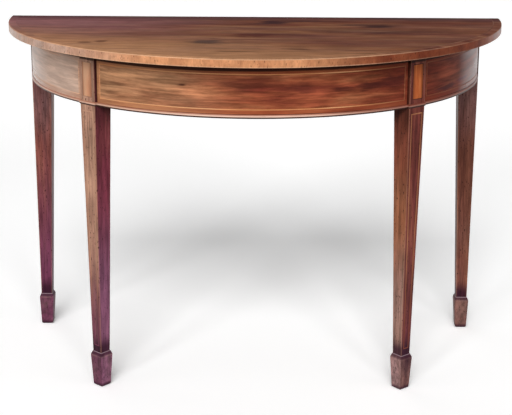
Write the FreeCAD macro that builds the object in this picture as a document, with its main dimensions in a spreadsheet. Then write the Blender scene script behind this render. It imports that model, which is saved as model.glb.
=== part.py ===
import FreeCAD, Part
import os
import re
import Sketcher

# Demilune side table: a half-round crossbanded top on a curved, brick-built frieze and four
# tapering legs with spade feet. Lengths are millimetres, angles are degrees. The table stands on
# z = 0 with its straight back towards +Y, and the origin is the middle of its outline.
# Pieces are drawn round the centre of the half circle, with the front towards -Y, and each one's
# placement turns it about that centre and carries it back to the table's straight edge.

SIZES = {
    # whole table
    "table_height": "740",
    "top_radius": "555",
    "top_thickness": "17",
    "top_overhang": "49",
    "frieze_height": "109",
    "veneer_thickness": "1.5",
    "glue_line": "0.3",
    "cut_overrun": "5",
    # top
    "crossband_width": "17",
    "top_string_width": "2",
    # curved frieze
    "brick_thickness": "24",
    "tongue_thickness": "12",
    "tenon_length": "24",
    "panel_margin": "9",
    "panel_drop": "20",
    "string_width": "2.2",
    "bead_height": "8",
    "bead_projection": "1.8",
    # legs
    "leg_angle": "41",
    "leg_setback": "6",
    "leg_width": "44",
    "stile_projection": "5",
    "back_stile_projection": "1",
    "outer_cheek_thickness": "13",
    "ankle_width": "25.4",
    "leg_string_margin": "5.5",
    "leg_string_depth": "1",
    "leg_string_drop": "12",
    "leg_string_rise": "14",
    "stile_panel_margin": "7.3",
    "dark_string_width": "1.2",
    # spade feet
    "foot_height": "78",
    "foot_width": "33",
    "foot_shoulder": "8",
    "sole_width": "25.5",
    "facing_lip": "0.6",
    # inner frame
    "rail_height": "88",
    "rail_thickness": "20",
    "rail_setback": "8",
    "rail_tenon_length": "16",
    "rail_tenon_thickness": "10",
    "rail_tenon_shoulder": "10",
    "brace_width": "22",
    "brace_height": "60",
    "brace_housing": "6",
    "glue_block_size": "20",
    "glue_block_length": "60",
    # screws that hold the top
    "screw_diameter": "4.5",
    "screw_head_diameter": "9",
    "screw_head_height": "2.6",
    "screw_reach": "11",
    "pocket_width": "13",
    "pocket_depth": "22",
    "pocket_slope": "20",
}

# Boards of the top from the back, counts, and places along the frieze as shares of the bays
# between the legs.
BOARDS = ("back", "middle", "front")
COURSE_COUNT = 4
BRICK_COUNT = 5
CROSSBAND_COUNT = 11
EDGE_BAND_COUNT = 9
SCREW_BAY_SHARE = 0.36
GLUE_BLOCK_BAY_SHARE = 0.68

# Heights and radii that several pieces share, in terms of the sheet's sizes.
BACK_LINE = "top_radius / 2"
FRIEZE_TOP = "(table_height - top_thickness)"
FRIEZE_BOTTOM = "(table_height - top_thickness - frieze_height)"
COURSE_HEIGHT = f"(frieze_height / {COURSE_COUNT})"
FRIEZE_RADIUS = "(top_radius - top_overhang)"
VENEER_INNER = f"({FRIEZE_RADIUS} - veneer_thickness)"
GROUND_RADIUS = f"({VENEER_INNER} - glue_line)"
INNER_RADIUS = f"({GROUND_RADIUS} - brick_thickness)"
STILE_RADIUS = f"({FRIEZE_RADIUS} + stile_projection)"
BACK_STILE_RADIUS = f"({FRIEZE_RADIUS} + back_stile_projection)"
TONGUE_OUTER = f"({STILE_RADIUS} - outer_cheek_thickness)"
TONGUE_INNER = f"({STILE_RADIUS} - outer_cheek_thickness - tongue_thickness)"
PANEL_BOTTOM = f"({FRIEZE_BOTTOM} + bead_height + panel_margin)"
PANEL_TOP = f"({FRIEZE_TOP} - panel_drop)"
BACK_LEG_FRONT = "(0 - leg_setback - leg_width)"
RAIL_FRONT = "(0 - rail_setback - rail_thickness)"
FOOT_WIDEST_HEIGHT = "(foot_height - foot_shoulder)"


def degrees_along(length, radius):
    """Angle that a length takes up on a circle."""
    return f"({length}) / ({radius}) * 180 / pi"


def offset_angle(offset, radius):
    """Angle from an axis to the point of a circle that lies at an offset from it."""
    return f"(asin(({offset}) / ({radius})) / 1deg)"


def shaft_width(height):
    """Width of a leg below the frieze, which tapers evenly to the ankle and on to the floor."""
    taper = f"(leg_width - ankle_width) / ({FRIEZE_BOTTOM} - foot_height)"
    return f"(ankle_width + {taper} * ({height} - foot_height))"


# The frieze is in three bays between the stiles, which are the heads of the legs.
STILE_HALF_ANGLE = offset_angle("leg_width / 2", VENEER_INNER)
SIDE_BAY_START = f"(leg_angle + {STILE_HALF_ANGLE})"
SIDE_BAY_END = f"(90 - {offset_angle('leg_setback + leg_width', VENEER_INNER)})"
FRONT_BAY = f"(2 * (leg_angle - {STILE_HALF_ANGLE}))"
SIDE_BAY = f"({SIDE_BAY_END} - {SIDE_BAY_START})"
SIDE_BAY_MIDDLE = f"(({SIDE_BAY_END} + {SIDE_BAY_START}) / 2)"
BAYS = {
    "front": (FRONT_BAY, "0"),
    "right": (SIDE_BAY, SIDE_BAY_MIDDLE),
    "left": (SIDE_BAY, f"-{SIDE_BAY_MIDDLE}"),
}
FRONT_LEG_TURNS = {"front_right": "leg_angle", "front_left": "-leg_angle"}

doc = FreeCAD.newDocument("DemiluneTable")
sheet = doc.addObject("Spreadsheet::Sheet", "Sizes")
for row, (size_name, size_value) in enumerate(SIZES.items(), start=1):
    sheet.set(f"A{row}", size_name)
    sheet.set(f"B{row}", size_value)
    sheet.setAlias(f"B{row}", size_name)
doc.recompute()

nodes = []


def sized(text):
    """The same expression with each size read from the sheet."""
    return re.sub(r"[a-z_]+", lambda word: f"Sizes.{word[0]}" if word[0] in SIZES else word[0], text)


def number(text):
    """What an expression comes to with the sheet's sizes."""
    result = sheet.evalExpression(text)
    return float(getattr(result, "Value", result))


def bind(feature, **properties):
    for name, text in properties.items():
        feature.setExpression(name, sized(text))


def stand(feature, turn="0", at=("0", "0", "0")):
    """Place a feature: its own corner first, then the turn round the table's centre."""
    x, y, z = at
    upright = "vector(0; 0; 1)"
    turned = f"placement(vector(0; {BACK_LINE}; 0); rotation({upright}; {turn}))"
    corner = f"placement(vector({x}; {y}; {z}); rotation({upright}; 0))"
    bind(feature, Placement=f"{turned} * {corner}")


def node(feature, label):
    feature.Label = label
    nodes.append(feature)
    return feature


def new_body(name, turn="0"):
    body = doc.addObject("PartDesign::Body", name)
    stand(body, turn)
    return body


def origin_feature(body, role):
    return next(feature for feature in body.Origin.OriginFeatures if feature.Role == role)


def new_sketch(body, plane, offset="0", turn=0):
    """Sketch on one of the body's own planes, moved along its normal or turned on its second axis."""
    sketch = body.newObject("Sketcher::SketchObject", f"{body.Name}_sketch")
    sketch.AttachmentSupport = [(origin_feature(body, plane), "")]
    sketch.MapMode = "FlatFace"
    turned = FreeCAD.Rotation(FreeCAD.Vector(0, 1, 0), turn)
    sketch.AttachmentOffset = FreeCAD.Placement(FreeCAD.Vector(), turned)
    sketch.setExpression("AttachmentOffset.Base.z", sized(offset))
    return sketch


def tie_point(sketch, edge, end, x, y):
    """Hold one end of an edge at two expressions, measured from the sketch's origin."""
    for kind, text in (("DistanceX", x), ("DistanceY", y)):
        index = sketch.addConstraint(Sketcher.Constraint(kind, -1, 1, edge, end, number(text)))
        sketch.setExpression(f"Constraints[{index}]", sized(text))


def draw_outline(sketch, points):
    """Closed outline of straight edges, with every corner tied to the sheet."""
    corners = [FreeCAD.Vector(number(x), number(y), 0) for x, y in points]
    first = sketch.GeometryCount
    for start, end in zip(corners, corners[1:] + corners[:1]):
        sketch.addGeometry(Part.LineSegment(start, end), False)
    for index, (x, y) in enumerate(points):
        following = first + (index + 1) % len(points)
        sketch.addConstraint(Sketcher.Constraint("Coincident", first + index, 2, following, 1))
        tie_point(sketch, first + index, 1, x, y)


def draw_rectangle(sketch, left, right, bottom, top):
    draw_outline(sketch, [(left, bottom), (right, bottom), (right, top), (left, top)])


def draw_bead_section(sketch, face):
    """Section of the bead: flat on the face that carries it, round towards the sketch's left."""
    bottom = FRIEZE_BOTTOM
    top = f"({FRIEZE_BOTTOM} + bead_height)"
    crown = FreeCAD.Vector(number(f"{face} - bead_projection"), number(f"({bottom} + {top}) / 2"), 0)
    low = FreeCAD.Vector(number(face), number(bottom), 0)
    high = FreeCAD.Vector(number(face), number(top), 0)
    flat = sketch.addGeometry(Part.LineSegment(low, high), False)
    bow = sketch.addGeometry(Part.Arc(high, crown, low), False)
    sketch.addConstraint(Sketcher.Constraint("Coincident", flat, 2, bow, 1))
    sketch.addConstraint(Sketcher.Constraint("Coincident", flat, 1, bow, 2))
    tie_point(sketch, flat, 1, face, bottom)
    tie_point(sketch, flat, 2, face, top)
    radius = "(bead_height^2 / 4 + bead_projection^2) / (2 * bead_projection)"
    index = sketch.addConstraint(Sketcher.Constraint("Radius", bow, number(radius)))
    sketch.setExpression(f"Constraints[{index}]", sized(radius))


def revolve(body, sketch, angle, kind="Revolution", axis=None):
    """Turn a section round the table's centre, the same way to both sides of the sketch."""
    feature = body.newObject(f"PartDesign::{kind}", f"{body.Name}_{kind.lower()}")
    feature.Profile = sketch
    feature.ReferenceAxis = axis or (origin_feature(body, "Z_Axis"), [""])
    feature.Midplane = True
    bind(feature, Angle=angle)
    return feature


def curved_strip(body, inner, outer, bottom, top, angle, kind="Revolution"):
    """Strip of rectangular section that follows the curve of the table."""
    sketch = new_sketch(body, "YZ_Plane")
    draw_rectangle(sketch, f"0 - {outer}", f"0 - {inner}", bottom, top)
    return revolve(body, sketch, angle, kind)


def repeat_round(body, feature, step, count):
    """Lay equal lengths side by side round the curve."""
    pattern = body.newObject("PartDesign::PolarPattern", f"{body.Name}_pattern")
    pattern.Originals = [feature]
    pattern.Axis = (origin_feature(body, "Z_Axis"), [""])
    pattern.Occurrences = count
    bind(pattern, Angle=f"{step} * {count - 1}")
    body.Tip = pattern


def half_round_lengths(name, section, to_half_circle, count=None):
    """Curved strip laid in equal lengths, so many to the half circle, with glue lines between."""
    inner, outer, bottom, top = section
    count = count or to_half_circle
    step = f"180 / {to_half_circle}"
    body = new_body(name, f"0 - {step} * {count - 1} / 2")
    gap = degrees_along("glue_line", outer)
    strip = curved_strip(body, inner, outer, bottom, top, f"{step} - {gap}")
    repeat_round(body, strip, step, count)
    return body


def pad(body, sketch, length, reverse=False, side="One side"):
    feature = body.newObject("PartDesign::Pad", f"{body.Name}_pad")
    feature.Profile = sketch
    feature.Reversed = reverse
    feature.SideType = side
    bind(feature, Length=length)
    return feature


def cut_through(body, sketch):
    """Cut an outline right through the body, to both sides of the sketch."""
    feature = body.newObject("PartDesign::Pocket", f"{body.Name}_cut")
    feature.Profile = sketch
    feature.Type = "ThroughAll"
    feature.SideType = "Symmetric"
    return feature


def new_box(name, x, y, z, turn="0"):
    """Block between two limits along each axis."""
    box = doc.addObject("Part::Box", name)
    bind(box, Length=f"({x[1]}) - ({x[0]})", Width=f"({y[1]}) - ({y[0]})", Height=f"({z[1]}) - ({z[0]})")
    stand(box, turn, (x[0], y[0], z[0]))
    return box


def new_compound(name, pieces):
    group = doc.addObject("Part::Compound", name)
    group.Links = pieces
    return group


def new_cut(name, base, tools):
    cut = doc.addObject("Part::Cut", name)
    cut.Base = base
    cut.Tool = tools[0] if len(tools) == 1 else new_compound(f"{name}_tools", tools)
    return cut


# Screws that hold the top. Each one leans outwards, and its head sits at the end of a square
# pocket chiselled into the inner face of the frieze.
SCREW_START_RADIUS = f"({GROUND_RADIUS} - brick_thickness / 2)"
HEAD_DEPTH = "(pocket_depth / cos(pocket_slope))"


def lean_point(up, out):
    """Point beside a screw: a distance up its axis and a distance out from it."""
    radius = f"{SCREW_START_RADIUS} + ({up}) * sin(pocket_slope) + ({out}) * cos(pocket_slope)"
    height = f"{FRIEZE_TOP} + ({up}) * cos(pocket_slope) - ({out}) * sin(pocket_slope)"
    return f"0 - ({radius})", height


def new_screw(name, turn, section):
    """Round solid on the screw's axis, from its half section."""
    body = new_body(name, turn)
    sketch = new_sketch(body, "YZ_Plane")
    points = [lean_point(up, out) for up, out in section]
    draw_outline(sketch, points)
    low, high = [FreeCAD.Vector(number(x), number(y), 0) for x, y in (points[0], points[-1])]
    axis = sketch.addGeometry(Part.LineSegment(low, high), True)
    sketch.addConstraint(Sketcher.Constraint("Coincident", axis, 1, 0, 1))
    sketch.addConstraint(Sketcher.Constraint("Coincident", axis, 2, len(points) - 1, 1))
    revolve(body, sketch, "360", axis=(sketch, ["Axis0"]))
    return body


def new_pocket(name, turn, outline):
    """Square hole along the screw's axis, open at its lower end."""
    body = new_body(name, turn)
    sketch = new_sketch(body, "YZ_Plane")
    draw_outline(sketch, [lean_point(up, out) for up, out in outline])
    pad(body, sketch, "pocket_width", side="Symmetric")
    return body


SCREW_SECTION = [
    (f"0 - {HEAD_DEPTH}", "0"),
    (f"0 - {HEAD_DEPTH}", "screw_head_diameter / 2"),
    (f"screw_head_height - {HEAD_DEPTH}", "screw_diameter / 2"),
    ("screw_reach / cos(pocket_slope)", "screw_diameter / 2"),
    ("screw_reach / cos(pocket_slope)", "0"),
]
POCKET_END = f"(0 - {HEAD_DEPTH} - brick_thickness / sin(pocket_slope))"
POCKET_OUTLINE = [
    (POCKET_END, "0 - pocket_width / 2"),
    (POCKET_END, "pocket_width / 2"),
    (f"0 - {HEAD_DEPTH}", "pocket_width / 2"),
    (f"0 - {HEAD_DEPTH}", "0 - pocket_width / 2"),
]


def right_and_left(turn):
    return [turn, f"-{turn}"]


screws = []
pockets = []
for index, turn in enumerate(right_and_left(f"leg_angle * {SCREW_BAY_SHARE}")):
    screws.append(new_screw(f"screw_{index}", turn, SCREW_SECTION))
    pockets.append(new_pocket(f"pocket_{index}", turn, POCKET_OUTLINE))
top_screws = node(new_compound("screws", screws), "top_screws")

# Top: equal boards jointed edge to edge, dressed with a figured field, a thin line, a border of
# cross-grained lengths round the curve, and cross-grained lengths on the curved edge.
BOARD_TOP = "(table_height - veneer_thickness)"
EDGE_INNER = "(top_radius - veneer_thickness)"
BOARD_RADIUS = f"({EDGE_INNER} - glue_line)"
BORDER_INNER = "(top_radius - crossband_width)"
FIELD_RADIUS = f"({BORDER_INNER} - top_string_width)"
WHOLE_WIDTH = ("0 - top_radius", "top_radius")


def half_disc(name, radius, bottom, height):
    disc = doc.addObject("Part::Cylinder", name)
    bind(disc, Radius=radius, Height=height, Angle="180")
    stand(disc, "180", ("0", "0", bottom))
    return disc


ground = half_disc("top_ground", BOARD_RADIUS, FRIEZE_TOP, "top_thickness - veneer_thickness")
for index, label in enumerate(BOARDS):
    front = f"0 - top_radius * {index + 1} / {len(BOARDS)}"
    back = f"0 - top_radius * {index} / {len(BOARDS)}"
    strip = new_box(f"{label}_board_strip", WHOLE_WIDTH, (front, back), (FRIEZE_TOP, BOARD_TOP))
    board = doc.addObject("Part::Common", f"{label}_board_outline")
    board.Base = ground
    board.Tool = strip
    node(new_cut(f"{label}_board", board, [top_screws]), f"top_{label}_board")

node(half_disc("top_field", FIELD_RADIUS, BOARD_TOP, "veneer_thickness"), "top_veneer")
top_line = new_body("top_line")
curved_strip(top_line, FIELD_RADIUS, BORDER_INNER, BOARD_TOP, "table_height", "180")
node(top_line, "top_stringing")
border_section = (BORDER_INNER, "top_radius", BOARD_TOP, "table_height")
node(half_round_lengths("border", border_section, CROSSBAND_COUNT), "top_crossband")
edge_section = (EDGE_INNER, "top_radius", FRIEZE_TOP, BOARD_TOP)
node(half_round_lengths("edge", edge_section, EDGE_BAND_COUNT), "top_edge_band")

# Frieze ground: courses of short curved bricks, each course breaking joint with the next. The
# front legs are forked over it, so it is notched to a tongue there; the two middle courses run on
# as tenons into the back legs; and the brace is housed in the middle of the front.
HALF_LEG = ("0 - leg_width / 2", "leg_width / 2")
HALF_BRACE = ("0 - brace_width / 2", "brace_width / 2")
FRIEZE_HEIGHTS = (FRIEZE_BOTTOM, FRIEZE_TOP)
BRACE_HEIGHTS = (f"{FRIEZE_TOP} - brace_height", FRIEZE_TOP)

notches = []
for label, turn in FRONT_LEG_TURNS.items():
    outer_waste = (f"0 - {GROUND_RADIUS} - cut_overrun", f"0 - {TONGUE_OUTER}")
    inner_waste = (f"0 - {TONGUE_INNER}", f"cut_overrun - {INNER_RADIUS}")
    notches.append(new_box(f"{label}_outer_notch", HALF_LEG, outer_waste, FRIEZE_HEIGHTS, turn))
    notches.append(new_box(f"{label}_inner_notch", HALF_LEG, inner_waste, FRIEZE_HEIGHTS, turn))
housing = new_box("brace_front_housing", HALF_BRACE, (f"0 - {TONGUE_INNER}", "0"), BRACE_HEIGHTS)
shoulder_waste = (BACK_LEG_FRONT, "top_radius")
plain_end = [new_box("plain_end", WHOLE_WIDTH, shoulder_waste, FRIEZE_HEIGHTS)]
between_tenons = (f"0 - {TONGUE_INNER}", TONGUE_INNER)
right_of_tenon = (TONGUE_OUTER, "top_radius")
left_of_tenon = ("0 - top_radius", f"0 - {TONGUE_OUTER}")
tenon_end = [
    new_box("inside_tenons", between_tenons, shoulder_waste, FRIEZE_HEIGHTS),
    new_box("right_of_tenon", right_of_tenon, shoulder_waste, FRIEZE_HEIGHTS),
    new_box("left_of_tenon", left_of_tenon, shoulder_waste, FRIEZE_HEIGHTS),
    new_box("behind_tenons", WHOLE_WIDTH, (f"{BACK_LEG_FRONT} + tenon_length", "top_radius"), FRIEZE_HEIGHTS),
]
for course in range(COURSE_COUNT):
    bottom = f"({FRIEZE_BOTTOM} + {COURSE_HEIGHT} * {course})"
    top = f"({FRIEZE_BOTTOM} + {COURSE_HEIGHT} * {course + 1})"
    section = (INNER_RADIUS, GROUND_RADIUS, bottom, top)
    bricks = half_round_lengths(f"bricks_{course}", section, BRICK_COUNT, BRICK_COUNT + course % 2)
    ends = plain_end if course in (0, COURSE_COUNT - 1) else tenon_end
    tools = notches + ends + [housing, top_screws] + pockets
    node(new_cut(f"course_{course}", bricks, tools), f"frieze_course_{course + 1}")

# Frieze panels: a sheet of figured veneer in each bay, with a rectangle of light line let into
# it, and the bead glued along its lower edge.
for bay, (span, turn) in BAYS.items():
    margin = degrees_along("panel_margin", FRIEZE_RADIUS)
    line_span = f"({span} - 2 * {margin})"
    rails = new_body(f"{bay}_line_rails", turn)
    inside_bottom, inside_top = f"({PANEL_BOTTOM} + string_width)", f"({PANEL_TOP} - string_width)"
    curved_strip(rails, VENEER_INNER, FRIEZE_RADIUS, PANEL_BOTTOM, inside_bottom, line_span)
    curved_strip(rails, VENEER_INNER, FRIEZE_RADIUS, inside_top, PANEL_TOP, line_span)
    uprights = new_body(f"{bay}_line_uprights", turn)
    inside_span = f"({line_span} - 2 * {degrees_along('string_width', FRIEZE_RADIUS)})"
    curved_strip(uprights, VENEER_INNER, FRIEZE_RADIUS, inside_bottom, inside_top, line_span)
    groove_radii = (f"({VENEER_INNER} - cut_overrun)", f"({FRIEZE_RADIUS} + cut_overrun)")
    curved_strip(uprights, *groove_radii, inside_bottom, inside_top, inside_span, "Groove")
    line = node(new_compound(f"{bay}_line", [rails, uprights]), f"{bay}_frieze_stringing")
    sheet_body = new_body(f"{bay}_sheet", turn)
    curved_strip(sheet_body, VENEER_INNER, FRIEZE_RADIUS, FRIEZE_BOTTOM, FRIEZE_TOP, span)
    node(new_cut(f"{bay}_veneer", sheet_body, [line]), f"{bay}_frieze_veneer")

stile_return = offset_angle("leg_width / 2 + bead_projection", FRIEZE_RADIUS)
side_bead_start = f"(leg_angle + {stile_return})"
side_return_offset = "leg_setback + leg_width + bead_projection"
side_bead_end = f"(90 - {offset_angle(side_return_offset, FRIEZE_RADIUS)})"
side_bead = f"({side_bead_end} - {side_bead_start})"
side_bead_middle = f"(({side_bead_end} + {side_bead_start}) / 2)"
bead_bays = {
    "front": (f"2 * (leg_angle - {stile_return})", "0"),
    "right": (side_bead, side_bead_middle),
    "left": (side_bead, f"-{side_bead_middle}"),
}
for bay, (span, turn) in bead_bays.items():
    bead = new_body(f"{bay}_bead_length", turn)
    section = new_sketch(bead, "YZ_Plane")
    draw_bead_section(section, f"(0 - {FRIEZE_RADIUS} - glue_line)")
    revolve(bead, section, span)
    node(bead, f"{bay}_bead")


def stile_bead(label, turn, plane, plane_offset, face, path):
    """Bead that breaks round the head of a leg, mitred at the corners."""
    body = new_body(f"{label}_break", turn)
    section = new_sketch(body, plane, plane_offset)
    draw_bead_section(section, face)
    route = new_sketch(body, "XY_Plane", FRIEZE_BOTTOM)
    corners = [FreeCAD.Vector(number(x), number(y), 0) for x, y in path]
    for index, (start, end) in enumerate(zip(corners, corners[1:])):
        route.addGeometry(Part.LineSegment(start, end), False)
        tie_point(route, index, 1, *path[index])
        if index:
            route.addConstraint(Sketcher.Constraint("Coincident", index - 1, 2, index, 1))
    tie_point(route, len(path) - 2, 2, *path[-1])
    sweep = body.newObject("PartDesign::AdditivePipe", f"{body.Name}_sweep")
    sweep.Profile = section
    sweep.Spine = (route, [f"Edge{index + 1}" for index in range(len(path) - 1)])
    sweep.Transition = "Right corner"
    node(body, f"{label}_stile_bead")


front_return = f"sqrt({FRIEZE_RADIUS}^2 - leg_width^2 / 4)"
front_path = [
    ("0 - leg_width / 2", f"0 - {front_return}"),
    ("0 - leg_width / 2", f"0 - {STILE_RADIUS}"),
    ("leg_width / 2", f"0 - {STILE_RADIUS}"),
    ("leg_width / 2", f"0 - {front_return}"),
]
for label, turn in FRONT_LEG_TURNS.items():
    stile_bead(label, turn, "XZ_Plane", front_return, "(0 - leg_width / 2)", front_path)
side_return = f"sqrt({FRIEZE_RADIUS}^2 - {BACK_LEG_FRONT}^2)"
for label, sign in (("back_right", ""), ("back_left", "0 - ")):
    side_path = [
        (f"{sign}{side_return}", BACK_LEG_FRONT),
        (f"{sign}{BACK_STILE_RADIUS}", BACK_LEG_FRONT),
        (f"{sign}{BACK_STILE_RADIUS}", "0 - leg_setback"),
    ]
    stile_bead(label, "0", "YZ_Plane", f"{sign}{side_return}", BACK_LEG_FRONT, side_path)

# Legs: each is a square blank with two faces planed to a taper below the frieze, so that one
# corner stays upright. Distances across a leg are measured from that corner.
LEG_CORNERS = {
    "front_right": ("0 - leg_width / 2", f"0 - {STILE_RADIUS}", 1, 1),
    "front_left": ("leg_width / 2", f"0 - {STILE_RADIUS}", -1, 1),
    "back_right": (BACK_STILE_RADIUS, "0 - leg_setback", -1, -1),
    "back_left": (f"0 - {BACK_STILE_RADIUS}", "0 - leg_setback", 1, -1),
}


def across(corner, direction, distance):
    return f"{corner} + {direction} * ({distance})"


def leg_blank(label, turn):
    """Square blank of a leg with its two tapers."""
    corner_x, corner_y, side_x, side_y = LEG_CORNERS[label]
    body = new_body(f"{label}_blank", turn)
    square = new_sketch(body, "XY_Plane")
    left, right = corner_x, across(corner_x, side_x, "leg_width")
    front, back = corner_y, across(corner_y, side_y, "leg_width")
    draw_rectangle(square, left, right, front, back)
    pad(body, square, FRIEZE_TOP)
    for plane, corner, direction in (("XZ_Plane", corner_x, side_x), ("YZ_Plane", corner_y, side_y)):
        waste = new_sketch(body, plane)
        outside = across(corner, direction, "leg_width + cut_overrun")
        draw_outline(waste, [
            (across(corner, direction, "leg_width"), FRIEZE_BOTTOM),
            (across(corner, direction, shaft_width("0")), "0"),
            (outside, "0"),
            (outside, FRIEZE_BOTTOM),
        ])
        cut_through(body, waste)
    return body


def face_box(name, turn, x, z):
    """Thin block let into the outward face of a front leg."""
    depth = (f"0 - {STILE_RADIUS}", f"leg_string_depth - {STILE_RADIUS}")
    return new_box(name, x, depth, z, turn)


for label, turn in FRONT_LEG_TURNS.items():
    body = leg_blank(label, turn)
    fork = new_sketch(body, "YZ_Plane")
    fork_end = f"{FRIEZE_TOP} + cut_overrun"
    draw_rectangle(fork, f"0 - {TONGUE_OUTER}", f"0 - {TONGUE_INNER}", FRIEZE_BOTTOM, fork_end)
    cut_through(body, fork)

    # Upright panel on the head of the leg, in a frame of dark line.
    outer = "(leg_width / 2 - stile_panel_margin)"
    inner = f"({outer} - dark_string_width)"
    low = f"({PANEL_BOTTOM} + dark_string_width)"
    high = f"({PANEL_TOP} - dark_string_width)"
    frame = [
        face_box(f"{label}_dark_low", turn, (f"0 - {outer}", outer), (PANEL_BOTTOM, low)),
        face_box(f"{label}_dark_high", turn, (f"0 - {outer}", outer), (high, PANEL_TOP)),
        face_box(f"{label}_dark_left", turn, (f"0 - {outer}", f"0 - {inner}"), (low, high)),
        face_box(f"{label}_dark_right", turn, (inner, outer), (low, high)),
    ]
    dark_line = node(new_compound(f"{label}_dark_line", frame), f"{label}_stile_stringing")
    panel = face_box(f"{label}_panel", turn, (f"0 - {inner}", inner), (low, high))
    node(panel, f"{label}_stile_panel")

    # Long tapering frame of light line down the outward face.
    corner_x, corner_y, side_x, side_y = LEG_CORNERS[label]
    line_top = f"({FRIEZE_BOTTOM} - leg_string_drop)"
    line_bottom = "(foot_height + leg_string_rise)"
    inside_top = f"({line_top} - string_width)"
    inside_bottom = f"({line_bottom} + string_width)"

    def face_point(distance, height):
        return across(corner_x, side_x, distance), height

    def far_point(inset, height):
        return face_point(f"{shaft_width(height)} - leg_string_margin - {inset}", height)

    uprights = new_body(f"{label}_line_uprights", turn)
    near_inner = "leg_string_margin + string_width"
    for outline in (
        [face_point("leg_string_margin", inside_bottom), face_point(near_inner, inside_bottom),
         face_point(near_inner, inside_top), face_point("leg_string_margin", inside_top)],
        [far_point("string_width", inside_bottom), far_point("0", inside_bottom),
         far_point("0", inside_top), far_point("string_width", inside_top)],
    ):
        drawing = new_sketch(uprights, "XZ_Plane", STILE_RADIUS)
        draw_outline(drawing, outline)
        pad(uprights, drawing, "leg_string_depth", reverse=True)
    rails = new_body(f"{label}_line_rails", turn)
    for low, high in ((line_bottom, inside_bottom), (inside_top, line_top)):
        drawing = new_sketch(rails, "XZ_Plane", STILE_RADIUS)
        draw_outline(drawing, [face_point("leg_string_margin", low), far_point("0", low),
                               far_point("0", high), face_point("leg_string_margin", high)])
        pad(rails, drawing, "leg_string_depth", reverse=True)
    light_line = node(new_compound(f"{label}_line", [uprights, rails]), f"{label}_leg_stringing")
    node(new_cut(f"{label}_post", body, [dark_line, panel, light_line]), f"{label}_leg")

# Back legs take the tenons of the frieze in front and of the back rail at the side.
rail_middle = f"({RAIL_FRONT} + rail_thickness / 2)"
rail_bottom = f"({FRIEZE_TOP} - rail_height)"
rail_tenon_depth = (f"{rail_middle} - rail_tenon_thickness / 2", f"{rail_middle} + rail_tenon_thickness / 2")
rail_tenon_height = (f"{rail_bottom} + rail_tenon_shoulder", f"{FRIEZE_TOP} - rail_tenon_shoulder")
tenon_heights = (f"{FRIEZE_BOTTOM} + {COURSE_HEIGHT}", f"{FRIEZE_TOP} - {COURSE_HEIGHT}")
leg_inner = f"({BACK_STILE_RADIUS} - leg_width)"
rail_tenon_tip = f"({leg_inner} + rail_tenon_length)"
frieze_mortise = (f"{BACK_LEG_FRONT} - cut_overrun", f"{BACK_LEG_FRONT} + tenon_length")
mortises = {
    "back_right": ((TONGUE_INNER, TONGUE_OUTER), (f"{leg_inner} - cut_overrun", rail_tenon_tip)),
    "back_left": ((f"0 - {TONGUE_OUTER}", f"0 - {TONGUE_INNER}"),
                  (f"0 - {rail_tenon_tip}", f"cut_overrun - {leg_inner}")),
}
for label, (frieze_x, rail_x) in mortises.items():
    body = leg_blank(label, "0")
    tools = [
        new_box(f"{label}_frieze_mortise", frieze_x, frieze_mortise, tenon_heights),
        new_box(f"{label}_rail_mortise", rail_x, rail_tenon_depth, rail_tenon_height),
    ]
    node(new_cut(f"{label}_post", body, tools), f"{label}_leg")

# Spade feet: four facings mitred at the corners and glued round the foot of each leg. They swell
# from a thin lip under the ankle to the shoulder and taper again to the floor.
FOOT_LEVELS = [
    ("0", f"(sole_width - {shaft_width('0')}) / 2"),
    (FOOT_WIDEST_HEIGHT, f"(foot_width - {shaft_width(FOOT_WIDEST_HEIGHT)}) / 2"),
    ("foot_height", "facing_lip"),
]
NEAR, FAR = -1, 1


def facing_strip(body, label, plane, face):
    """Strip with the section of one facing, on the near or far side of the leg's own corner."""
    corner_x, corner_y, side_x, side_y = LEG_CORNERS[label]
    if plane == "XZ_Plane":
        corner, direction, offset = corner_x, side_x, f"0 - ({corner_y})"
    else:
        corner, direction, offset = corner_y, side_y, corner_x
    inner = [(shaft_width(height) if face == FAR else "0", height) for height, thickness in FOOT_LEVELS]
    outer = [(f"{seat} + {face} * {thickness}", height)
             for (seat, height), (height, thickness) in zip(inner, FOOT_LEVELS)]
    section = new_sketch(body, plane, offset)
    outline = outer + [inner[-1], inner[0]]
    draw_outline(section, [(across(corner, direction, distance), height) for distance, height in outline])
    pad(body, section, "2 * foot_width", side="Symmetric")


def mitre_cut(body, label, crossing, keep):
    """Saw off one end of a facing along a diagonal of the leg, half a glue line inside it."""
    corner_x, corner_y, side_x, side_y = LEG_CORNERS[label]
    handed = side_x * side_y * (1 if crossing else -1)
    waste = new_sketch(body, "XZ_Plane", turn=45 * handed)
    outline = []
    for distance, height in (("glue_line / 2", "0"), ("glue_line / 2", "foot_height"),
                             ("0 - 2 * foot_width", "foot_height"), ("0 - 2 * foot_width", "0")):
        diagonal = shaft_width(height) if crossing else "0"
        along = f"({corner_x} + {handed} * ({corner_y}) + {side_x} * {diagonal}) / sqrt(2)"
        outline.append((f"{along} + {side_x * keep} * ({distance})", height))
    draw_outline(waste, outline)
    cut_through(body, waste)


FACINGS = [("YZ_Plane", NEAR, FAR, NEAR), ("XZ_Plane", FAR, FAR, FAR),
           ("YZ_Plane", FAR, NEAR, FAR), ("XZ_Plane", NEAR, NEAR, NEAR)]
for label in LEG_CORNERS:
    facings = []
    for side, (plane, face, straight_keep, crossing_keep) in enumerate(FACINGS):
        body = new_body(f"{label}_facing_{side}", FRONT_LEG_TURNS.get(label, "0"))
        facing_strip(body, label, plane, face)
        mitre_cut(body, label, False, straight_keep)
        mitre_cut(body, label, True, crossing_keep)
        facings.append(body)
    node(new_compound(f"{label}_facings", facings), f"{label}_foot")

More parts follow.
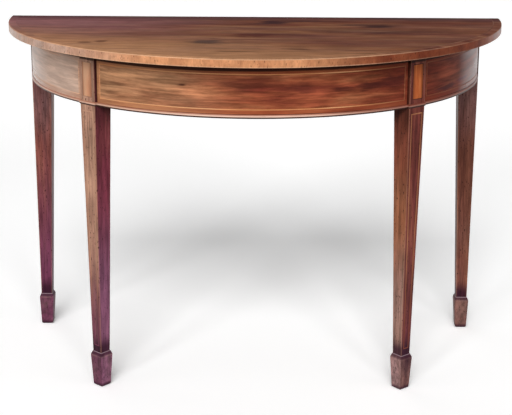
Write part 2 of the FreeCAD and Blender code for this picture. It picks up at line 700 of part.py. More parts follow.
# Inner frame: the back rail is tenoned into the back legs, and the brace ties its middle to the
# front of the frieze.
rail_length = (f"0 - {leg_inner}", leg_inner)
rail_depth = (RAIL_FRONT, "0 - rail_setback")
rail_tenon_span = (f"0 - {rail_tenon_tip}", rail_tenon_tip)
rail_body = doc.addObject("Part::Fuse", "rail_blank")
rail_body.Base = new_box("rail_length", rail_length, rail_depth, (rail_bottom, FRIEZE_TOP))
rail_body.Tool = new_box("rail_tenons", rail_tenon_span, rail_tenon_depth, rail_tenon_height)
brace_end = f"({RAIL_FRONT} + brace_housing)"
brace = new_box("brace", HALF_BRACE, (f"0 - {TONGUE_INNER}", brace_end), BRACE_HEIGHTS)
node(brace, "cross_brace")
node(new_cut("rail", rail_body, [brace]), "back_rail")

# Glue blocks: short three-cornered blocks rubbed into the corner of the frieze and the top.
front_blocks = right_and_left(f"leg_angle * {GLUE_BLOCK_BAY_SHARE}")
side_blocks = right_and_left(f"(leg_angle + (90 - leg_angle) * {GLUE_BLOCK_BAY_SHARE})")
blocks = []
for index, turn in enumerate(front_blocks + side_blocks):
    block = new_body(f"block_{index}", turn)
    section = new_sketch(block, "YZ_Plane")
    draw_outline(section, [
        (f"0 - {INNER_RADIUS}", FRIEZE_TOP),
        (f"0 - {INNER_RADIUS}", f"{FRIEZE_TOP} - glue_block_size"),
        (f"glue_block_size - {INNER_RADIUS}", FRIEZE_TOP),
    ])
    revolve(block, section, degrees_along("glue_block_length", INNER_RADIUS))
    blocks.append(block)
node(new_compound("blocks", blocks), "glue_blocks")

doc.recompute()
for feature in doc.Objects:
    faults = [state for state in feature.State if state in ("Invalid", "Error")]
    if faults:
        raise RuntimeError(f"{feature.Label} is {faults}")
for feature in nodes:
    if feature.Shape.isNull() or not feature.Shape.isValid() or not feature.Shape.Solids:
        raise RuntimeError(f"{feature.Label} has no sound shape")

os.makedirs("parts", exist_ok=True)
for feature in nodes:
    feature.Shape.exportStep(f"parts/{feature.Label}.step")
    print(f"{feature.Label}: {len(feature.Shape.Solids)} solids, {feature.Shape.Volume:.1f} mm3")
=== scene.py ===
import bmesh
import bpy
from math import asin, atan2, cos, hypot, pi, radians, sin, sqrt
from mathutils import Matrix, Vector, noise


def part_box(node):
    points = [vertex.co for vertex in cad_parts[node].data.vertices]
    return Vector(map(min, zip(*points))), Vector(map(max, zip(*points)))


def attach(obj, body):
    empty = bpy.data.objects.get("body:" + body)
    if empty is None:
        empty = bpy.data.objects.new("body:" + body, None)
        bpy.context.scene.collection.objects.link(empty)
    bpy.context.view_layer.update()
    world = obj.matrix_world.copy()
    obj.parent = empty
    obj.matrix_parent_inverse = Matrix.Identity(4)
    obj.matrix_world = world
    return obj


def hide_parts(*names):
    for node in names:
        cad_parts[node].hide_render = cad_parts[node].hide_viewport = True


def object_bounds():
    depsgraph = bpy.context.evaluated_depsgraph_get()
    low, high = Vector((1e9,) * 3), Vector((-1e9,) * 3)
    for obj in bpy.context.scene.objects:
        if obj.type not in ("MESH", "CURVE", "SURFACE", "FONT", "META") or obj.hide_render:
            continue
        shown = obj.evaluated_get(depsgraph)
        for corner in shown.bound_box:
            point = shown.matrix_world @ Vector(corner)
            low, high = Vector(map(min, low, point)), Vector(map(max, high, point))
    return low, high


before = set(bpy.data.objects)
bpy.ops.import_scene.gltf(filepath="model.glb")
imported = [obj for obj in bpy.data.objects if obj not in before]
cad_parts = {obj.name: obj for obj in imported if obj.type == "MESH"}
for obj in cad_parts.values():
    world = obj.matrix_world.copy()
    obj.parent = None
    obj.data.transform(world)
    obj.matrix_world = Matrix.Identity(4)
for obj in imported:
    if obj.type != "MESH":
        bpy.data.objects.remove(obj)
cad_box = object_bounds()

# Ground of the frieze: four courses of short pine bricks sawn to the curve and glued up with
# their joints staggered, then planed true. The inside was never polished, only browned by age.
BRICKS_TO_HALF_ROUND = 5
BRICK_STAGGER = 0.5
BRICK_SHADES = (0.72, 1.15)
PINE_TONES = {0.15: (92, 62, 38), 0.5: (128, 92, 58), 0.85: (158, 120, 80)}
PINE_SHINE = 0.2
back_line = cad_box[1].y
frieze_radius = back_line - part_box("front_frieze_veneer")[0].y
course_low, course_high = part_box("frieze_course_1")
# Clouds to the metre along and across the grain with their detail, and parts of their range.
GRAIN = {
    "drift": (3.0, 16.0), "mottle": (14.0, 46.0, 5.0), "ragged": (24.0, 130.0, 4.0),
    "rubbing": (30.0, 30.0), "patch": (9.0, 34.0, 4.0), "pore": (70.0, 1500.0, 1.0),
    "speck": (180.0, 440.0, 0.0), "polish": (5.0, 18.0),
}
BAND_DETAIL = 4.0
VEIN_DETAIL = (6.0, 0.72)
WHOLE, WIDE, MIDDLE, NARROW = (0.0, 1.0), (0.25, 0.75), (0.3, 0.7), (0.35, 0.65)
VEIN_EDGE, MARK_EDGE = (0.32, 0.68), (1.15, 0.35)
PORE_EDGE, SPECK_EDGE = (0.57, 0.68), (0.725, 0.79)
MARK_RAGGEDNESS = (1.6, 2.6, 0.0)
PORE_SHADE = 0.3
GRAIN_RELIEF = 0.0004
CLEAR_SHINE, DEEP_SHINE = 0.04, 0.5
SIDEWAYS, FORE_AND_AFT, UP = 0, 1, 2


def stain(red, green, blue):
    """A colour from a colour card, in the units that the shaders take."""
    def linear(level):
        level /= 255
        return level / 12.92 if level <= 0.04045 else ((level + 0.055) / 1.055) ** 2.4
    return linear(red), linear(green), linear(blue), 1.0


SPECK = stain(40, 22, 18)


def add(tree, kind, **settings):
    """One more node in a tree."""
    node = tree.nodes.new(kind)
    for name, value in settings.items():
        setattr(node, name, value)
    return node


def step(kind, inputs, **settings):
    """A node with its inputs: values, and other nodes' outputs, whose tree it joins."""
    tree = next(value.id_data for value in inputs.values() if isinstance(value, bpy.types.NodeSocket))
    node = add(tree, kind, **settings)
    for socket, value in inputs.items():
        if isinstance(value, bpy.types.NodeSocket):
            tree.links.new(value, node.inputs[socket])
        else:
            node.inputs[socket].default_value = value
    return node


def made(kind, inputs, **settings):
    """What a new node gives first."""
    return step(kind, inputs, **settings).outputs[0]


def reckon(operation, *values):
    """A sum of one or two numbers."""
    return made("ShaderNodeMath", dict(enumerate(values)), operation=operation)


def product(*values):
    """Two numbers multiplied."""
    return reckon("MULTIPLY", *values)


def minus(*values):
    """One number less another."""
    return reckon("SUBTRACT", *values)


def vectors(operation, *values):
    """A sum of two places or colours."""
    return made("ShaderNodeVectorMath", dict(enumerate(values)), operation=operation)


def measure(operation, *values):
    """A number from one or two places."""
    return step("ShaderNodeVectorMath", dict(enumerate(values)), operation=operation).outputs["Value"]


def split(place):
    """The three numbers of a place."""
    return step("ShaderNodeSeparateXYZ", {0: place}).outputs


def fade(value, low, high, start=0.0, end=1.0):
    """Bring a value from one range to another, softly and without leaving it."""
    numbers = {0: value, 1: low, 2: high, 3: start, 4: end}
    return made("ShaderNodeMapRange", numbers, interpolation_type="SMOOTHSTEP")


def tinge(share, under, over):
    """Lay one colour over another by a share from 0 to 1."""
    return step("ShaderNodeMix", {0: share, 6: under, 7: over}, data_type="RGBA").outputs[2]


def scaled(colour, strength):
    """A colour made darker or lighter."""
    return made("ShaderNodeVectorMath", {0: colour, 3: strength}, operation="SCALE")


def shaded(colour, value, span, depth, lift):
    """A colour darker by a depth where a value is low, and lighter by a share of it where it is high."""
    return scaled(colour, fade(value, *span, 1 - depth, 1 + depth * lift))


def carried(tree, name):
    """A number that the mesh carries."""
    return add(tree, "ShaderNodeAttribute", attribute_name=name).outputs["Fac"]


def place_on_table(tree):
    """Where a point lies on the table, as sideways, fore and aft, and up."""
    return split(add(tree, "ShaderNodeTexCoord").outputs["Object"])


def grain_run(tree, lie):
    """Place on a piece in metres: first along the grain, then twice across it."""
    x, y, z = place_on_table(tree)
    forward = minus(back_line, y)
    arc = product(reckon("ARCTAN2", x, forward), frieze_radius)
    squares = reckon("ADD", reckon("POWER", x, 2.0), reckon("POWER", forward, 2.0))
    radius = reckon("SQRT", squares)
    order = {
        "sideways": (x, y, z), "upright": (z, x, y), "fore_and_aft": (y, x, z),
        "round": (arc, z, radius), "radial": (radius, arc, z), "on_edge": (z, arc, radius),
    }[lie]
    return made("ShaderNodeCombineXYZ", dict(enumerate(order)))


def clouds(run, along, across, detail=2.0, sharpness=0.5):
    """Soft noise drawn out along the grain, with so many clouds to the metre each way."""
    drawn = vectors("MULTIPLY", run, (along, across, across))
    values = {"Vector": drawn, "Scale": 1.0, "Detail": detail, "Roughness": sharpness}
    return step("ShaderNodeTexNoise", values).outputs


def wander(run, kind, reach):
    """A drift to and fro about a place, so far each way."""
    drift = vectors("SUBTRACT", clouds(run, *GRAIN[kind])[1], (0.5, 0.5, 0.5))
    return vectors("MULTIPLY", drift, reach)


def broad_bands(run, bands, tones):
    """Broad bands along the grain, from the darkest tone to the palest."""
    band = fade(clouds(run, *bands, BAND_DETAIL)[0], *WIDE)
    ramp = step("ShaderNodeValToRGB", {0: band})
    stops = ramp.color_ramp.elements
    while len(stops) < len(tones):
        stops.new(0.5)
    for stop, (position, tone) in zip(stops, tones.items()):
        stop.position, stop.color = position, stain(*tone)
    return ramp.outputs[0]


def marked(run, colour, marks):
    """Knots and veins: place along and across, length and width in mm, tone and strength of each."""
    ragged = wander(run, "ragged", MARK_RAGGEDNESS)
    for along, across, length, width, tone, strength in marks:
        offset = vectors("SUBTRACT", run, (along / 1000, across / 1000, 0.0))
        shares = vectors("MULTIPLY", offset, (1000 / length, 1000 / width, 0.0))
        reach = measure("LENGTH", vectors("ADD", shares, ragged))
        colour = tinge(fade(reach, *MARK_EDGE, 0.0, strength), colour, stain(*tone))
    return colour


def rubbed_bare(tree, run, colour, tone, strength):
    """Handling has rubbed the arrises, here more and there less."""
    rubbed = fade(clouds(run, *GRAIN["rubbing"])[0], *NARROW, 0.2, strength)
    rubbed = product(fade(carried(tree, "arris"), 0.2, 1.0), rubbed)
    return tinge(rubbed, colour, tone)


def wood(name, lie, tones, bands=(1.2, 34.0), waver=0.008, figure=None, streaks=(7.0, 420.0),
         streak_depth=0.12, pore_depth=0.25, mottling=0.1, specks=0.0, gloss=(0.36, 0.5), shine=0.05,
         relief=0.15, marks=(), worn=None, lengths=0.0, dress=(), coats_over_grain=()):
    """Figured wood: broad bands, fine streaks and pores along the grain, under a thin old polish."""
    material = bpy.data.materials.new(name)
    material.use_nodes = True
    tree = material.node_tree
    surface = tree.nodes["Principled BSDF"]
    run = grain_run(tree, lie)
    run = vectors("ADD", run, wander(run, "drift", (0.0, waver, waver)))

    colour = broad_bands(run, bands, tones)
    for coat in dress:
        colour = coat(tree, run, colour)
    colour = shaded(colour, clouds(run, *GRAIN["mottle"])[0], MIDDLE, mottling, lift=0.8)
    if figure:
        *veins, depth = figure
        colour = shaded(colour, clouds(run, *veins, *VEIN_DETAIL)[0], VEIN_EDGE, depth, lift=0.7)
    if marks:
        colour = marked(run, colour, marks)
    if lengths:
        colour = shaded(colour, carried(tree, "shade"), WHOLE, lengths, lift=1.0)
    if worn:
        colour = rubbed_bare(tree, run, colour, *worn)
    streak = clouds(run, *streaks)[0]
    colour = shaded(colour, streak, WIDE, streak_depth, lift=0.5)
    pore = fade(clouds(run, *GRAIN["pore"])[0], *PORE_EDGE, 0.0, pore_depth)
    colour = tinge(pore, colour, scaled(colour, PORE_SHADE))
    if specks:
        speck = fade(clouds(run, *GRAIN["speck"])[0], *SPECK_EDGE, 0.0, specks)
        colour = tinge(speck, colour, SPECK)
    for coat in coats_over_grain:
        colour = coat(tree, run, colour)
    tree.links.new(colour, surface.inputs["Base Color"])

    polish = fade(clouds(run, *GRAIN["polish"])[0], *MIDDLE, *gloss)
    tree.links.new(polish, surface.inputs["Roughness"])
    specular = surface.inputs["Specular IOR Level"]
    specular.default_value = CLEAR_SHINE if callable(shine) else shine
    if callable(shine):
        tree.links.new(shine(tree), specular)
    height = minus(streak, pore)
    bump = {"Height": height, "Strength": relief, "Distance": GRAIN_RELIEF}
    tree.links.new(made("ShaderNodeBump", bump), surface.inputs["Normal"])
    return material


def separate_bricks(tree, run, colour):
    """Each brick was sawn from a different board, so each has a tone of its own."""
    arc, height, radius = split(run)
    above = minus(height, course_low.z)
    course = reckon("FLOOR", reckon("DIVIDE", above, course_high.z - course_low.z))
    along = reckon("DIVIDE", arc, pi * frieze_radius / BRICKS_TO_HALF_ROUND)
    brick = reckon("FLOOR", reckon("ADD", along, product(course, BRICK_STAGGER)))
    place = made("ShaderNodeCombineXYZ", {0: brick, 1: course})
    lot = made("ShaderNodeTexWhiteNoise", {"Vector": place}, noise_dimensions="3D")
    return scaled(colour, fade(lot, *WHOLE, *BRICK_SHADES))


def finish_nodes(material, *nodes):
    """Give solids that are right as they are their finish."""
    for node in nodes:
        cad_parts[node].data.materials[0] = material


brick_pine = wood(
    "brick_pine", "round", PINE_TONES, bands=(2.0, 60.0), gloss=(0.6, 0.8), shine=PINE_SHINE,
    relief=0.5, dress=[separate_bricks])
finish_nodes(brick_pine, *[f"frieze_course_{course}" for course in (1, 2, 3, 4)])

# Inner frame: the back rail is tenoned between the back legs, and a brace ties its middle to the
# front. Both are planed pine, and so are the blocks rubbed into the corner under the top.
RAIL_TONES = {0.2: (98, 64, 38), 0.5: (134, 94, 58), 0.8: (166, 126, 84)}
for node, name, lie, bands, gloss, relief in (
    ("back_rail", "rail_pine", "sideways", (1.0, 48.0), (0.55, 0.75), 0.4),
    ("cross_brace", "brace_pine", "fore_and_aft", (1.0, 48.0), (0.55, 0.75), 0.4),
    ("glue_blocks", "block_pine", "round", (3.0, 70.0), (0.6, 0.8), 0.5),
):
    finish_nodes(wood(name, lie, RAIL_TONES, bands, gloss=gloss, shine=PINE_SHINE, relief=relief), node)

# Legs: four square mahogany posts, planed to a taper on two sides below the frieze and polished.
# Handling has rounded the arrises and let the paler wood show along them.
ANKLE_WIDTH = 0.0254
ARRIS_RADIUS = 0.0009
ARRIS_STEPS = 3
ARRIS_WEAR, WEAR_WAVES = 0.5, Vector((40, 40, 25))
WEAR_MARGIN = 0.003
RING_SPACING = 0.03
INLAY_DEPTH = 0.001
SOLE_WIDTH = 0.0255
SOLE_ROUND = 0.0045
SOLE_TURN_SHARE = 0.1
FACING_EDGE = 0.0003
SHARP_TURN = radians(35)
MERGE_REACH = 1e-6
LEG_TONES = {0.1: (93, 44, 35), 0.4: (114, 57, 45), 0.65: (129, 70, 54), 0.95: (153, 95, 71)}
LEG_WEAR = stain(176, 128, 104)
LEG_PAINTED_LIGHT = stain(180, 140, 117)
ANKLE_PAINTED_LIGHT = stain(162, 130, 120)
PLUM = stain(94, 40, 72)
LIT_PLUM = stain(151, 98, 126)
UMBER = stain(80, 43, 34)
PAINTED_SHADE = stain(38, 16, 12)
DARK_PLUM = stain(50, 21, 37)
LOW_MAROON = stain(84, 38, 52)
CRIMSON = stain(126, 52, 68)
RUSSET = stain(128, 58, 38)
GREY_PAINTED_SHEEN = stain(156, 128, 130)
HONEY_PAINTED_LIGHT = stain(150, 92, 56)
# Ways that a face can look, each with how squarely it must, from not at all to fully.
TOWARDS_LAMPS = (-0.656, -0.755, 0.0)
FACING_LAMPS = (TOWARDS_LAMPS, 0.72, 0.98)
LIT_SIDE = (TOWARDS_LAMPS, 0.7, 0.96)
FAR_SIDE = ((0.755, -0.656, 0.0), 0.8, 0.97)
FRONT = ((0.0, -1.0, 0.0), 0.9, 0.98)
# Parts of the width of the table over which a tone comes in, and how faint and patchy it is.
FAINT_SHARE = 0.1
PATCHES = (0.65, 1.15)
LEFT, RIGHT, BACK_LEFT, BACK_RIGHT = (-0.1, -0.3), (0.1, 0.3), (-0.4, -0.46), (0.4, 0.46)

leg_low, leg_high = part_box("back_right_leg")
leg_width = leg_high.x - leg_low.x
back_stile = leg_high.x
back_setback = back_line - leg_high.y
leg_top = leg_high.z
frieze_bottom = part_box("front_frieze_veneer")[0].z
foot_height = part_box("back_right_foot")[1].z
panel_low, panel_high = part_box("front_right_stile_panel")
panel_middle = (panel_low + panel_high) / 2
leg_turn = atan2(panel_middle.x, back_line - panel_middle.y)
stile_radius = hypot(panel_middle.x, back_line - panel_middle.y) + INLAY_DEPTH / 2
LEG_CORNERS = {
    "front_right": (-leg_width / 2, -stile_radius, 1, 1, leg_turn),
    "front_left": (leg_width / 2, -stile_radius, -1, 1, -leg_turn),
    "back_right": (back_stile, -back_setback, -1, -1, 0.0),
    "back_left": (-back_stile, -back_setback, 1, -1, 0.0),
}


def shaft_width(height):
    """Width of a leg: full in the frieze, then an even taper to the ankle and on to the floor."""
    taper = (leg_width - ANKLE_WIDTH) / (frieze_bottom - foot_height)
    return min(leg_width, ANKLE_WIDTH + taper * (height - foot_height))


def worn_off(height):
    """How much wear has taken off the side of a foot, where it rounds under to the floor."""
    return SOLE_ROUND - sqrt(SOLE_ROUND ** 2 - max(0.0, SOLE_ROUND - height) ** 2)


def on_leg(label, across, deep, height):
    """Place on a leg, measured from its upright corner: across its outward face, into it, and up."""
    corner_x, corner_y, side_x, side_y, turn = LEG_CORNERS[label]
    point = Vector((corner_x + side_x * across, corner_y + side_y * deep, height))
    return Matrix.Translation((0, back_line, 0)) @ Matrix.Rotation(turn, 4, "Z") @ point


def settle(mesh, smooth=False, merge=False):
    """Turn a mesh's faces outwards, after merging what coincides, and smooth its gentle turns."""
    work = bmesh.new()
    work.from_mesh(mesh)
    if merge:
        bmesh.ops.remove_doubles(work, verts=work.verts, dist=MERGE_REACH)
    bmesh.ops.recalc_face_normals(work, faces=work.faces)
    work.to_mesh(mesh)
    work.free()
    if smooth:
        mesh.shade_smooth()
        mesh.set_sharp_from_angle(angle=SHARP_TURN)


def show(name, data):
    """A new object in the scene."""
    thing = bpy.data.objects.new(name, data)
    bpy.context.collection.objects.link(thing)
    return thing


def fit(piece, slot, node):
    """Fix a piece to the table in the place of the solids that it dresses."""
    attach(piece, "root")
    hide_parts(node)


def new_piece(name, lumps, material, slot, node, arris=None, smooth=False, merge=False):
    """A piece of closed lumps, each a run of rings of points, with how far each point is on an arris."""
    points, faces = [], []
    for rings in lumps:
        count, first = len(rings[0]), len(points)
        points += [point for ring in rings for point in ring]
        last = len(points) - count
        for low in range(first, last, count):
            for here in range(count):
                after = (here + 1) % count
                faces.append((low + here, low + after, low + count + after, low + count + here))
        faces += [tuple(range(first, first + count)), tuple(range(last, last + count))]
    mesh = bpy.data.meshes.new(name)
    mesh.from_pydata(points, [], faces)
    if arris:
        mesh.attributes.new("arris", "FLOAT", "POINT").data.foreach_set("value", arris)
    settle(mesh, smooth, merge)
    mesh.materials.append(material)
    piece = show(name, mesh)
    fit(piece, slot, node)
    return piece


def square_ring(width, rounding, inset):
    """Outline of a square post from its corner, as (across, deep, arris) with rounded arrises."""
    half = width / 2 - inset
    turns = [pi * (1 + part / ARRIS_STEPS / 2) for part in range(ARRIS_STEPS + 1)]
    corner = [(rounding * (1 + cos(turn)) - half, rounding * (1 + sin(turn)) - half) for turn in turns]
    side = [(across, deep, 1.0) for across, deep in corner]
    side += [(WEAR_MARGIN - half, -half, 0.0), (half - WEAR_MARGIN, -half, 0.0)]
    ring = []
    for quarter in range(4):
        ring += [(width / 2 + across, width / 2 + deep, arris) for across, deep, arris in side]
        side = [(-deep, across, arris) for across, deep, arris in side]
    return ring


def light_and_tone_on_faces(tone, strength, looks=FACING_LAMPS, across=(0.32, -0.3), upwards=None):
    """A patchy coat on faces that look one way, by side and height: painted light, shade, sheen and tone.
    """
    direction, *squareness = looks

    def coat(tree, run, colour):
        turned = measure("DOT_PRODUCT", add(tree, "ShaderNodeTexCoord").outputs["Normal"], direction)
        x, y, z = place_on_table(tree)
        nearness = fade(x, *across, FAINT_SHARE * strength, strength)
        share = product(fade(turned, *squareness), nearness)
        if upwards:
            share = product(share, fade(z, *upwards, FAINT_SHARE, 1.0))
        patchy = fade(clouds(run, *GRAIN["patch"])[0], *MIDDLE, *PATCHES)
        return tinge(product(share, patchy), colour, tone)
    return coat


def graded(tone, *spans):
    """A coat over part of the table. Each span is a way, two places on it and the shares there."""
    def coat(tree, run, colour):
        place = place_on_table(tree)
        share = 1.0
        for way, *span in spans:
            share = product(fade(place[way], *span), share)
        return tinge(share, colour, tone)
    return coat


# The left legs are from a board that is plum low down, the back right one from a brown board.
leg_boards = [
    graded(PLUM, (SIDEWAYS, 0.05, -0.15), (UP, 0.5, 0.12, 0.12, 0.92)),
    graded(UMBER, (SIDEWAYS, 0.42, 0.46), (UP, 0.12, 0.25, 0.15, 0.82), (UP, 0.42, 0.58, 1.0, 0.6)),
]
leg_mahogany = wood(
    "leg_mahogany", "upright", LEG_TONES, bands=(4.0, 40.0), waver=0.006, mottling=0.16,
    figure=(12.0, 190.0, 0.38), gloss=(0.3, 0.42), specks=0.85, worn=(LEG_WEAR, 0.28),
    dress=leg_boards + [
        # Painted light: faces that look towards the lamps are paler, and on the right legs the side
        # towards them is paler low down.
        light_and_tone_on_faces(LEG_PAINTED_LIGHT, 0.9, upwards=(0.14, 0.38)),
        light_and_tone_on_faces(HONEY_PAINTED_LIGHT, 0.75, LIT_SIDE, RIGHT, (0.58, 0.38)),
        light_and_tone_on_faces(ANKLE_PAINTED_LIGHT, 0.85, LIT_SIDE, RIGHT, (0.38, 0.18)),
        light_and_tone_on_faces(LIT_PLUM, 0.8, FAR_SIDE, LEFT, (0.6, 0.1)),
        light_and_tone_on_faces(CRIMSON, 0.75, FAR_SIDE, LEFT, (0.26, 0.44)),
        light_and_tone_on_faces(RUSSET, 0.6, LIT_SIDE, RIGHT, (0.42, 0.52)),
        # Painted sheen: pale grey high on the fronts of the back legs.
        light_and_tone_on_faces(GREY_PAINTED_SHEEN, 0.3, FRONT, BACK_LEFT, (0.43, 0.58)),
        light_and_tone_on_faces(GREY_PAINTED_SHEEN, 0.3, FRONT, BACK_RIGHT, (0.43, 0.58)),
        light_and_tone_on_faces(LOW_MAROON, 0.75, FAR_SIDE, RIGHT, (0.32, 0.12)),
        # Painted shade: the legs' inner faces are darker just under the frieze.
        light_and_tone_on_faces(PAINTED_SHADE, 0.75, FAR_SIDE, LEFT, (0.53, 0.61)),
        light_and_tone_on_faces(PAINTED_SHADE, 0.75, LIT_SIDE, RIGHT, (0.51, 0.61)),
        # Darker just above the foot.
        graded(DARK_PLUM, (UP, foot_height + 0.045, foot_height + 0.01, 0.0, 0.92)),
        # Painted shadow of the top on the legs' heads, and painted shade on the heads of the back legs.
        graded(PAINTED_SHADE, (UP, leg_top - 0.0172, leg_top - 0.0144, 0.0, 0.85)),
        graded(PAINTED_SHADE, (UP, frieze_bottom - 0.01, frieze_bottom, 0.0, 0.85),
               (FORE_AND_AFT, back_line - leg_width * 2, back_line - leg_width * 1.5)),
    ])
ring_count = round((frieze_bottom - RING_SPACING) / RING_SPACING)
sole_offset = (SOLE_WIDTH - shaft_width(0)) / 2
facing_foot = worn_off(sole_offset - FACING_EDGE)
ring_heights = [0.0, SOLE_ROUND * SOLE_TURN_SHARE, facing_foot]
ring_heights += [frieze_bottom * part / ring_count for part in range(1, ring_count + 1)] + [leg_top]
for label, (x, y, *_) in LEG_CORNERS.items():
    rings, arrises = [], []
    for height in ring_heights:
        wear = noise.noise(Vector((x, y, height)) * WEAR_WAVES)
        rounding = ARRIS_RADIUS * (1 + ARRIS_WEAR * wear)
        inset = max(0.0, worn_off(height) - sole_offset)
        ring = square_ring(shaft_width(height), rounding, inset)
        rings.append([on_leg(label, across, deep, height) for across, deep, arris in ring])
        arrises += [arris for across, deep, arris in ring]
    new_piece(f"{label}_post", [rings], leg_mahogany, "leg_wood", f"{label}_leg", arrises, smooth=True)

# Spade feet: four mahogany facings mitred round the foot of each leg. They swell from a thin lip
# at the ankle to a rounded shoulder and taper to the floor, where the corners are knocked about.
FOOT_TONES = {0.15: (78, 45, 41), 0.45: (101, 63, 56), 0.8: (124, 86, 77)}
FOOT_WEAR = stain(178, 140, 132)
FOOT_PAINTED_LIGHT = stain(158, 122, 120)
LIP_PAINTED_HIGHLIGHT = stain(166, 142, 150)
SHOULDER_DROP = 0.008
FACING_LIP = 0.0006
SHOULDER_ROUND = 0.0012
MITRE_GAP = 0.00015
EASED_EDGE = 0.0003
EASED_FROM = radians(50)
HANDLED_SHARE = 0.5
foot_low, foot_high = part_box("back_right_foot")
foot_width = foot_high.x - foot_low.x
widest_height = foot_height - SHOULDER_DROP
foot_mahogany = wood(
    "foot_mahogany", "upright", FOOT_TONES, bands=(9.0, 70.0), mottling=0.2, figure=(60.0, 95.0, 0.55),
    gloss=(0.4, 0.55), specks=0.85, worn=(FOOT_WEAR, 0.46),
    dress=leg_boards + [
        # Painted light: the right feet are paler on the faces towards the lamps.
        light_and_tone_on_faces(FOOT_PAINTED_LIGHT, 0.85, across=RIGHT),
        light_and_tone_on_faces(LIT_PLUM, 0.7, FAR_SIDE, LEFT),
    ],
    coats_over_grain=[
        # Painted shade: the right feet are darker on the faces that look away from the lamps.
        light_and_tone_on_faces(DARK_PLUM, 0.6, FAR_SIDE, RIGHT, (0.02, 0.06)),
        light_and_tone_on_faces(DARK_PLUM, 0.25, LIT_SIDE, LEFT),
        # Darker towards the floor.
        graded(DARK_PLUM, (UP, 0.012, 0.005, 0.0, 0.78)),
        # Painted shade on the rounded shoulder of each foot.
        graded(DARK_PLUM, (UP, widest_height - 0.003, widest_height + 0.004, 0.0, 0.8)),
        # Painted highlight: a pale line along the lip at the ankle.
        graded(LIP_PAINTED_HIGHLIGHT, (UP, foot_height - 0.0016, foot_height - 0.0006, 0.0, 0.6)),
    ])


def foot_profile():
    """Section of a facing from the floor up and back: (distance off the leg, height, arris)."""
    widest = (foot_width - shaft_width(widest_height)) / 2
    slope = (widest - sole_offset) / widest_height
    turning = (facing_foot + SOLE_ROUND) / 2
    fall = (widest - FACING_LIP) / SHOULDER_DROP
    high, curve = widest_height, SHOULDER_ROUND
    return [
        (FACING_EDGE, facing_foot, 1.0),
        (sole_offset + slope * turning - worn_off(turning), turning, 1.0),
        (sole_offset + slope * SOLE_ROUND, SOLE_ROUND, 0.4),
        (sole_offset + slope * high / 2, high / 2, 0.0),
        (widest - slope * curve * 2, high - curve * 2, 0.2),
        (widest - slope * curve, high - curve, 1.0),
        (widest - fall * curve * 0.35, high + curve * 0.25, 1.0),
        (widest - fall * curve * 1.2, high + curve * 1.2, 0.3),
        (FACING_LIP, foot_height, 0.6),
        (0.0, foot_height, 0.0),
        (0.0, facing_foot, 0.0),
    ]


for label in LEG_CORNERS:
    facings, arrises = [], []
    for side in range(4):
        rings = [[], []]
        for end, ring in enumerate(rings):
            for off, height, arris in foot_profile():
                width = shaft_width(height)
                along = width + off - MITRE_GAP if end else MITRE_GAP - off
                out = width + off if side in (1, 2) else -off
                across, deep = (along, out) if side in (0, 2) else (out, along)
                ring.append(on_leg(label, across, deep, height))
                arrises.append(max(arris, HANDLED_SHARE if off else 0.0))
        facings.append(rings)
    foot = new_piece(f"{label}_spade", facings, foot_mahogany, "foot_wood", f"{label}_foot", arrises)
    edge = foot.modifiers.new("eased_mitres", "BEVEL")
    edge.width, edge.segments, edge.limit_method, edge.angle_limit = EASED_EDGE, 2, "ANGLE", EASED_FROM

# Line inlay of the front legs: strips of pale boxwood let into the outward face in a long tapering
# frame. On the head of the leg a satinwood panel stands in a frame of dark line.
BOXWOOD_TONES = {0.2: (190, 124, 78), 0.6: (208, 142, 96), 0.9: (220, 160, 114)}
DARK_TONES = {0.2: (34, 18, 14), 0.8: (58, 32, 24)}
LEG_LINE_TONES = {0.2: (140, 88, 58), 0.6: (160, 106, 74), 0.9: (176, 122, 88)}
PANEL_TONES = {0.15: (156, 78, 40), 0.5: (174, 92, 49), 0.85: (190, 112, 64)}
SCORCHED = stain(112, 56, 32)
PANEL_PAINTED_LIGHT = stain(192, 148, 118)
LINE_WIDTH = 0.0022
LINE_PROUD = 0.00012
LINE_MARGIN = 0.0055
LINE_WEAR_HEIGHTS = (0.3, 0.12)
DARK_LINE_WIDTH = 0.0012
PANEL_COLUMNS, PANEL_ROWS = 5, 9
PANEL_RIPPLE, PANEL_WAVES = 0.4, 90
line_low, line_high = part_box("front_right_leg_stringing")
dark_low, dark_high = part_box("front_right_stile_stringing")
dark_width = (dark_high.x - dark_low.x - INLAY_DEPTH * sin(leg_turn)) / cos(leg_turn)
stile_margin = (leg_width - dark_width) / 2


def worn_low(tree, run, colour):
    """Low on the leg, where brooms and shoes knock it, the line has darkened to the leg's colour."""
    leg = stain(*LEG_TONES[0.4])
    for board in leg_boards:
        leg = board(tree, run, leg)
    return tinge(fade(place_on_table(tree)[UP], *LINE_WEAR_HEIGHTS, 0.0, 0.9), colour, leg)


def sand_shaded(tree, run, colour):
    """The long edges of the panel were dipped in hot sand, which scorched them darker."""
    arc = split(grain_run(tree, "round"))[0]
    off_middle = minus(reckon("ABSOLUTE", arc), leg_turn * frieze_radius)
    half_panel = dark_width / 2 - DARK_LINE_WIDTH
    share = fade(reckon("ABSOLUTE", off_middle), half_panel / 2, half_panel, 0.0, 0.65)
    return tinge(share, colour, SCORCHED)


